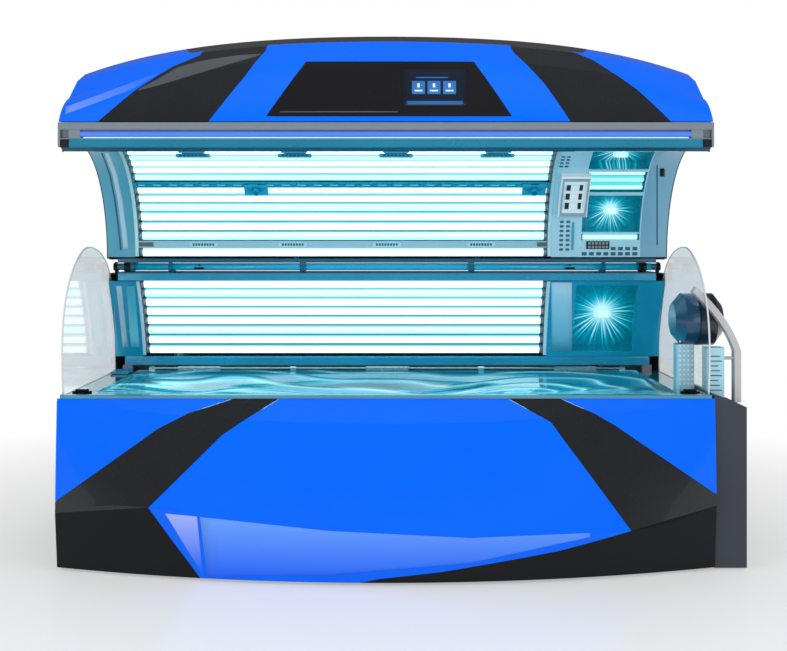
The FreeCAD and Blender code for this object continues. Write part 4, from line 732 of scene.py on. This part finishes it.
def oval_plate(bm, x, degrees, half_x, half_up, inset0, inset1):
    """Rounded plate on the inner side of the canopy sheet, with a softened rim."""
    sides, roundness = 28, 0.5
    rings = []
    for inset, grow in ((inset0, 1.0), (inset1 - 0.001, 1.0), (inset1, 0.93)):
        rim = []
        for k in range(sides):
            turn = 2 * math.pi * k / sides
            c, s = math.cos(turn), math.sin(turn)
            dx = math.copysign(abs(c) ** roundness, c) * half_x * grow
            up = math.copysign(abs(s) ** roundness, s) * half_up * grow
            rim.append(bm.verts.new(on_arc(x + dx, degrees, inset, up)))
        rings.append(rim)
    skin_rings(bm, rings)


def build_tunnel():
    bm = bmesh.new()
    length = 0.141
    for i in range(12):
        left = -1.030 + i * length
        arc_block(bm, left, left + length, VENT_ANGLE, -0.0140, 0.0140, 0.0001, 0.0006)
    piece("vent_strip_face", bm, "canopy", strip_grey)

    bm = bmesh.new()
    for x in VENT_CENTRES:
        oval_plate(bm, x, VENT_ANGLE, 0.060, 0.0125, 0.0005, 0.004)
        for i in range(8):
            left = x - 0.045 + i * 0.0116
            arc_block(bm, left, left + 0.008, VENT_ANGLE, -0.0052, 0.0052, 0.0030, 0.0046, 1)
    for x0, x1 in ((-1.028, -0.968), (0.622, 0.662)):
        arc_block(bm, x0, x1, VENT_ANGLE, -0.009, 0.009, 0.0002, 0.003, 2)
    piece("vent_grilles", bm, "canopy", ice_gloss, teal_dark, graphite_trim_and_highlight)

    bm = bmesh.new()
    for x in HOOD_CENTRES:
        block(bm, (x - 0.040, -0.482, 1.4865), (x + 0.040, -0.450, 1.5160), 0.002)
        block(bm, (x - 0.061, -0.486, 1.4740), (x + 0.061, -0.440, 1.4870), 0.002)
        for i in range(7):
            left = x - 0.048 + i * 0.0143
            block(bm, (left, -0.4870, 1.4770), (left + 0.0100, -0.4855, 1.4835), 0.0, 1)
    piece("hood_brims", bm, "canopy", hood_teal, teal_dark)

    bm = bmesh.new()
    for x in NOZZLE_CENTRES:
        for row in range(3):
            up = -0.007 * row
            for column in range(7 - row):
                left = x - 0.040 + 0.006 * row + column * 0.012
                arc_block(bm, left, left + 0.006, NOZZLE_ANGLE, 0.010 + up, 0.014 + up, 0.0088, 0.0100)
    piece("nozzle_slots", bm, "canopy", teal_dark)

    bm = bmesh.new()
    turned(bm, [(-HINGE_HALF, 0.0150), (HINGE_HALF, 0.0150)], HINGE_Y, HINGE_Z, 40)
    piece("hinge_sleeve", bm, "canopy", sleeve_teal)
    bm = bmesh.new()
    for x in (-0.779, 0.759):
        block(bm, (x - 0.020, HINGE_Y - 0.019, HINGE_Z - 0.010), (x + 0.020, HINGE_Y - 0.011, HINGE_Z - 0.002), 0.002)
        block(bm, (x - 0.003, HINGE_Y - 0.018, HINGE_Z + 0.004), (x + 0.003, HINGE_Y - 0.010, HINGE_Z + 0.010), 0.001)
    for x in (-1.075, 1.060):
        collar = [(x - 0.016, 0.0190), (x - 0.013, 0.0225), (x + 0.013, 0.0225), (x + 0.016, 0.0190)]
        turned(bm, collar, HINGE_Y, HINGE_Z, 28)
    piece("hinge_fittings", bm, "canopy", black_satin)


# ---------------------------------------------------------------- bench sheet
def smooth_dip(x):
    """Dip of the bench top in metres: the CAD stations joined by a smooth curve."""
    stations = BENCH_STATIONS
    i = max(k for k in range(len(stations) - 1) if x >= stations[k] - 1e-9)
    t = min(1.0, (x - stations[i]) / (stations[i + 1] - stations[i]))
    ease = t * t * (3 - 2 * t)
    return BENCH_DIPS[i] + (BENCH_DIPS[i + 1] - BENCH_DIPS[i]) * ease


def bench_profile(share):
    """Share of the full dip at a share of the sheet's depth."""
    return math.sin(math.pi * min(1.0, max(0.0, share))) ** 1.25


def build_bench():
    columns, rows = 84, 26
    low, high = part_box("bench_sheet")
    bm = bmesh.new()
    top, under = [], []
    for c in range(columns + 1):
        x = -BENCH_HALF + 2 * BENCH_HALF * c / columns
        dip = smooth_dip(x)
        line = [(x, low[1] + (high[1] - low[1]) * r / rows, BENCH_TOP_Z - dip * bench_profile(r / rows))
                for r in range(rows + 1)]
        top.append([bm.verts.new(spot) for spot in line])
        under.append([bm.verts.new((x, y, z - BENCH_SHEET)) for x, y, z in line])
    plate(bm, top, under, soft=True)
    made = piece("bench_acrylic_sheet", bm, "bench_lid", bench_acrylic)
    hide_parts("bench_sheet")


# ---------------------------------------------------------------- head end
def capsule(bm, x, spot, radius, half):
    """Glass bulb along X at a point's Y and Z."""
    rounding = [(half - radius, 1.0), (half - radius * 0.5, 0.87), (half - radius * 0.12, 0.55), (half, 0.25)]
    steps = [(-dx, share) for dx, share in reversed(rounding)] + rounding
    turned(bm, [(x + dx, radius * share) for dx, share in steps], spot.y, spot.z, 24)


def build_head_end():
    bm = bmesh.new()
    for angle in (FACIAL_TOP, FACIAL_LOW):
        capsule(bm, BULB_X, arc_point(BULB_ARC_RADIUS, angle), 0.0114, 0.0290)
    piece("facial_bulbs", bm, "canopy", lamp_white)
    bm = bmesh.new()
    capsule(bm, WALL_BULB_X, wall_point(0.5, WALL_BULB_OFFSET), 0.0134, 0.0330)
    piece("wall_bulb", bm, "base", lamp_white)

    bm = bmesh.new()
    inset, (left, right), (bottom, top) = SHEET_RADIUS - POD_RADIUS, POD_X, POD_ANGLES
    lower, upper = bottom + POD_RIM_ANGLE, top - POD_RIM_ANGLE
    for low, high, x0, x1 in ((bottom, lower, left, right), (upper, top, left, right),
                              (lower, upper, left, left + POD_RIM), (lower, upper, right - POD_RIM, right)):
        half = math.radians(high - low) / 2 * SHEET_RADIUS
        arc_block(bm, x0, x1, (low + high) / 2, -half, half, inset + 0.0001, inset + 0.0014)
    piece("pod_rim", bm, "canopy", pod_frame)

    bm = bmesh.new()
    for x in (0.722, 0.748):
        for i in range(7):
            raised(bm, x, 4.5 + 2.55 * i, 0.0075, 0.0050)
    for i in range(8):
        x = 0.818 + 0.0300 * i
        raised(bm, x, 2.2, 0.0100, 0.0070)
        if i > 3:
            raised(bm, x, 5.0, 0.0100, 0.0070)
    for x in (0.694, 0.716):
        for angle in (56.5, 59.5, 62.5, 65.5):
            raised(bm, x, angle, 0.0070, 0.0050)
    arc_block(bm, 0.764, 0.773, 12.0, -0.060, 0.058, 0.0002, 0.0014, 1)
    piece("speaker_holes", bm, "canopy", teal_dark, teal_gloss)

    bm = bmesh.new()
    display_angle = 6.9
    arc_block(bm, 0.826, 0.922, display_angle, -0.0165, 0.0165, 0.0002, 0.0020)
    for column in range(6):
        for up in (-0.0078, 0.0078):
            x = 0.8335 + 0.0145 * column
            arc_block(bm, x, x + 0.0105, display_angle, up - 0.0055, up + 0.0055, 0.0019, 0.0026, 1)
    piece("status_display", bm, "canopy", black_satin, status_cell)

    # Painted reflections: glowing star-like streaks round each bulb on the facial reflectors.
    across = (1.0, 0.0, 0.0)
    bursts = []
    for angle, reach in ((FACIAL_LOW, 0.11), (FACIAL_TOP, 0.12)):
        turn = math.radians(angle)
        bursts.append((tuple(arc_point(BULB_ARC_RADIUS, angle, BULB_X)), across,
                       (0.0, -math.sin(turn), math.cos(turn)), reach, 9.0))
    paint("canopy_facial_lamps", burst_reflector("canopy_burst", bursts))
    wall_bulb = tuple(wall_point(0.5, WALL_BULB_OFFSET, WALL_BULB_X))
    paint("wall_facial_lamp", burst_reflector("wall_burst", [(wall_bulb, across, (0.0, -0.39, 0.92), 0.17, 10.0)]))


# ---------------------------------------------------------------- right end
def build_right_end():
    bm = bmesh.new()
    half = 0.0035
    for column in range(4):
        for row in range(11):
            x = 1.0905 + 0.0150 * column
            z = 0.640 + 0.0175 * row
            block(bm, (x - half, -0.3875, z - half), (x + half, -0.3855, z + half), 0.0008)
    piece("column_dots", bm, "base", white_gloss)
    bm = bmesh.new()
    for row in range(8):
        z = 0.630 + 0.0175 * row
        block(bm, (1.168, -0.5010, z), (1.212 - 0.006 * (row % 3), -0.4995, z + 0.0035), 0.0005)
    piece("panel_lines", bm, "base", grey_satin)


# ---------------------------------------------------------------- end fins
FIN_KNOTS = [(-0.545, DECK_Z), (-0.560, 0.740), (-0.545, 0.880), (-0.490, 0.995), (-0.385, 1.088), (-0.235, 1.145),
             (-0.060, 1.132), (0.080, 1.075), (0.170, 0.975), (0.208, 0.830), (0.225, DECK_Z)]
FIN_MIDDLE = (-0.17, 0.80)
FIN_INNER_X, FIN_OUTER_X, FIN_EDGE, FIN_ROUNDING = 1.1500, 1.1560, 0.0005, 0.004


def fin_outline():
    """Rounded outline of an end fin as (y, z) points, front foot to rear foot: a smooth curve through the knots."""
    knots = FIN_KNOTS
    line = []
    for i in range(len(knots) - 1):
        four = knots[max(i - 1, 0)], knots[i], knots[i + 1], knots[min(i + 2, len(knots) - 1)]
        for step in range(6):
            t = step / 6
            line.append(tuple(0.5 * (2 * q + (r - p) * t + (2 * p - 5 * q + 4 * r - s) * t * t
                                     + (3 * q - p - 3 * r + s) * t ** 3) for p, q, r, s in zip(*four)))
    line.append(knots[-1])
    return line


def build_fins():
    outline = fin_outline()
    bm = bmesh.new()
    for side in (-1, 1):
        rings = []
        for x, shrink in ((FIN_INNER_X + FIN_EDGE, FIN_ROUNDING), (FIN_INNER_X, 0.0),
                          (FIN_OUTER_X, 0.0), (FIN_OUTER_X - FIN_EDGE, FIN_ROUNDING)):
            rim = []
            for y, z in outline:
                away = Vector((FIN_MIDDLE[0] - y, FIN_MIDDLE[1] - z)).normalized() * shrink
                rim.append(bm.verts.new((side * x, y + away[0], max(DECK_Z, z + away[1]))))
            rings.append(rim)
        skin_rings(bm, rings, material=1)
    made = piece("fin_sheets", bm, "base", fin_acrylic, fin_rim)
    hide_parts("side_fins")


# ---------------------------------------------------------------- cheeks, divider and left deck
def build_divider():
    bm = bmesh.new()
    block(bm, (-1.146, 0.100, 0.6190), (-1.072, 0.205, 0.6290), 0.003)
    for i in range(5):
        y = 0.114 + 0.019 * i
        block(bm, (-1.136, y, 0.6285), (-1.082, y + 0.009, 0.6305), 0.0008)
    piece("corner_plate", bm, "base", teal_gloss)
    patch("left_frame_line", "wall_cheeks", [(116.0, 286.0), (123.0, 347.0)], [(121.5, 286.0), (128.0, 347.0)],
          "base", frame_line, 0.0010, 0.0016, 6, 2)
    # Pale panel on the left cheek; its fade from light at the bottom to darker at the top is painted light.
    patch("left_pale_panel", "wall_cheeks", [(126.0, 286.0), (131.0, 347.0)], [(135.0, 286.0), (139.5, 347.0)],
          "base", panel_painted_light, 0.0010, 0.0016, 6, 3)
    curve = [(101.0, 153.0), (109.0, 175.0), (114.0, 200.0), (118.0, 230.0), (120.0, 250.0)]
    patch("cheek_seam", "canopy_cheeks", curve, [(x + 1.6, y) for x, y in curve],
          "canopy", teal_dark, 0.0008, 0.0014, 16, 2)
    patch("cheek_band", "canopy_cheeks", [(x + 3.5, y) for x, y in curve], [(x + 8.5, y) for x, y in curve],
          "canopy", frame_line, 0.0006, 0.0012, 16, 3)
    # Pale divider strip whose lightening towards the top is a painted highlight.
    tiles("wall_divider", "wall_cheeks", [(551.5, 282.5, 572.0, 352.0)], "base", divider_painted_highlight, 0.0010, 0.0016, 4)
    tiles("cheek_latch", "canopy_cheeks", [(660.0, 168.5, 664.5, 176.0)], "canopy", black_satin, 0.004, 0.005, 2)
    tiles("cheek_line", "canopy_cheeks", [(656.5, 165.0, 657.7, 245.0)], "canopy", teal_dark, 0.0008, 0.0014, 12)


# ---------------------------------------------------------------- floor, light and background
def build_stage():
    """Pale floor that fades into a white background."""
    bm = bmesh.new()
    bmesh.ops.create_circle(bm, cap_ends=True, segments=96, radius=14.0)
    mesh = mesh_of("floor", bm)
    floor = bpy.data.objects.new("floor", mesh)
    bpy.context.scene.collection.objects.link(floor)
    m = Mat("floor")
    m.shades(m.noise(1.5), 0.3, 0.7, (0.90, 0.90, 0.90), (0.92, 0.92, 0.92))
    m.rough(m.noise(4.0), 0.20, 0.26)
    m.set(Specular_IOR_Level=0.9)
    glow = m.node("Emission")
    glow.inputs["Color"].default_value = (1, 1, 1, 1)
    mix = m.node("MixShader")
    m.link(m.span(m.vector("LENGTH", m.place), 0.40, 1.0, 1.2, 3.2), mix.inputs["Fac"])
    m.link(m.shader.outputs["BSDF"], mix.inputs[1])
    m.link(glow.outputs["Emission"], mix.inputs[2])
    m.link(mix.outputs["Shader"], m.tree.nodes["Material Output"].inputs["Surface"])
    mesh.materials.append(m.mat)


def area_light(name, place, target, size, size_y, watts):
    """Light panel that faces a target and isn't mirrored in gloss."""
    data = bpy.data.lights.new(name, "AREA")
    data.shape = "RECTANGLE"
    data.size = size
    data.size_y = size_y
    data.energy = watts
    made = bpy.data.objects.new(name, data)
    made.location = place
    made.rotation_euler = (Vector(target) - Vector(place)).to_track_quat("-Z", "Y").to_euler()
    made.visible_glossy = False
    bpy.context.scene.collection.objects.link(made)


def build_light():
    """White background to the camera and through clear parts, a dimmer room in light and in reflections."""
    world = bpy.data.worlds.new("world")
    world.use_nodes = True
    bpy.context.scene.world = world
    tree = world.node_tree
    shade = tree.nodes["Background"]
    shade.inputs["Color"].default_value = (0.97, 0.98, 1.0, 1)
    white = tree.nodes.new("ShaderNodeBackground")
    white.inputs["Color"].default_value = (1, 1, 1, 1)
    path = tree.nodes.new("ShaderNodeLightPath")
    seen = tree.nodes.new("ShaderNodeMath")
    seen.operation = "MAXIMUM"
    room = tree.nodes.new("ShaderNodeMapRange")
    room.inputs["To Min"].default_value = 0.50
    room.inputs["To Max"].default_value = 0.16
    mix = tree.nodes.new("ShaderNodeMixShader")
    for a, b in ((path.outputs["Is Camera Ray"], seen.inputs[0]),
                 (path.outputs["Is Transmission Ray"], seen.inputs[1]),
                 (path.outputs["Is Glossy Ray"], room.inputs["Value"]),
                 (room.outputs["Result"], shade.inputs["Strength"]),
                 (seen.outputs["Value"], mix.inputs["Fac"]),
                 (shade.outputs["Background"], mix.inputs[1]),
                 (white.outputs["Background"], mix.inputs[2]),
                 (mix.outputs["Shader"], tree.nodes["World Output"].inputs["Surface"])):
        tree.links.new(a, b)
    area_light("front", (0, -6.0, 1.1), (0, 0, 0.9), 8.0, 4.0, 115.0)
    area_light("overhead", (0, -1.5, 4.2), (0, -0.3, 0.8), 4.5, 1.6, 50.0)
    area_light("left", (-4.5, -2.5, 1.6), (0, -0.3, 0.9), 1.2, 2.4, 26.0)
    area_light("right", (4.5, -2.5, 1.6), (0, -0.3, 0.9), 1.2, 2.4, 30.0)
    area_light("back", (0.0, 3.4, 3.0), (0, 0.3, 1.2), 3.0, 1.0, 40.0)


build_lamps()
build_front()
build_tunnel()
build_bench()
build_head_end()
build_right_end()
build_fins()
build_divider()
build_stage()
build_light()
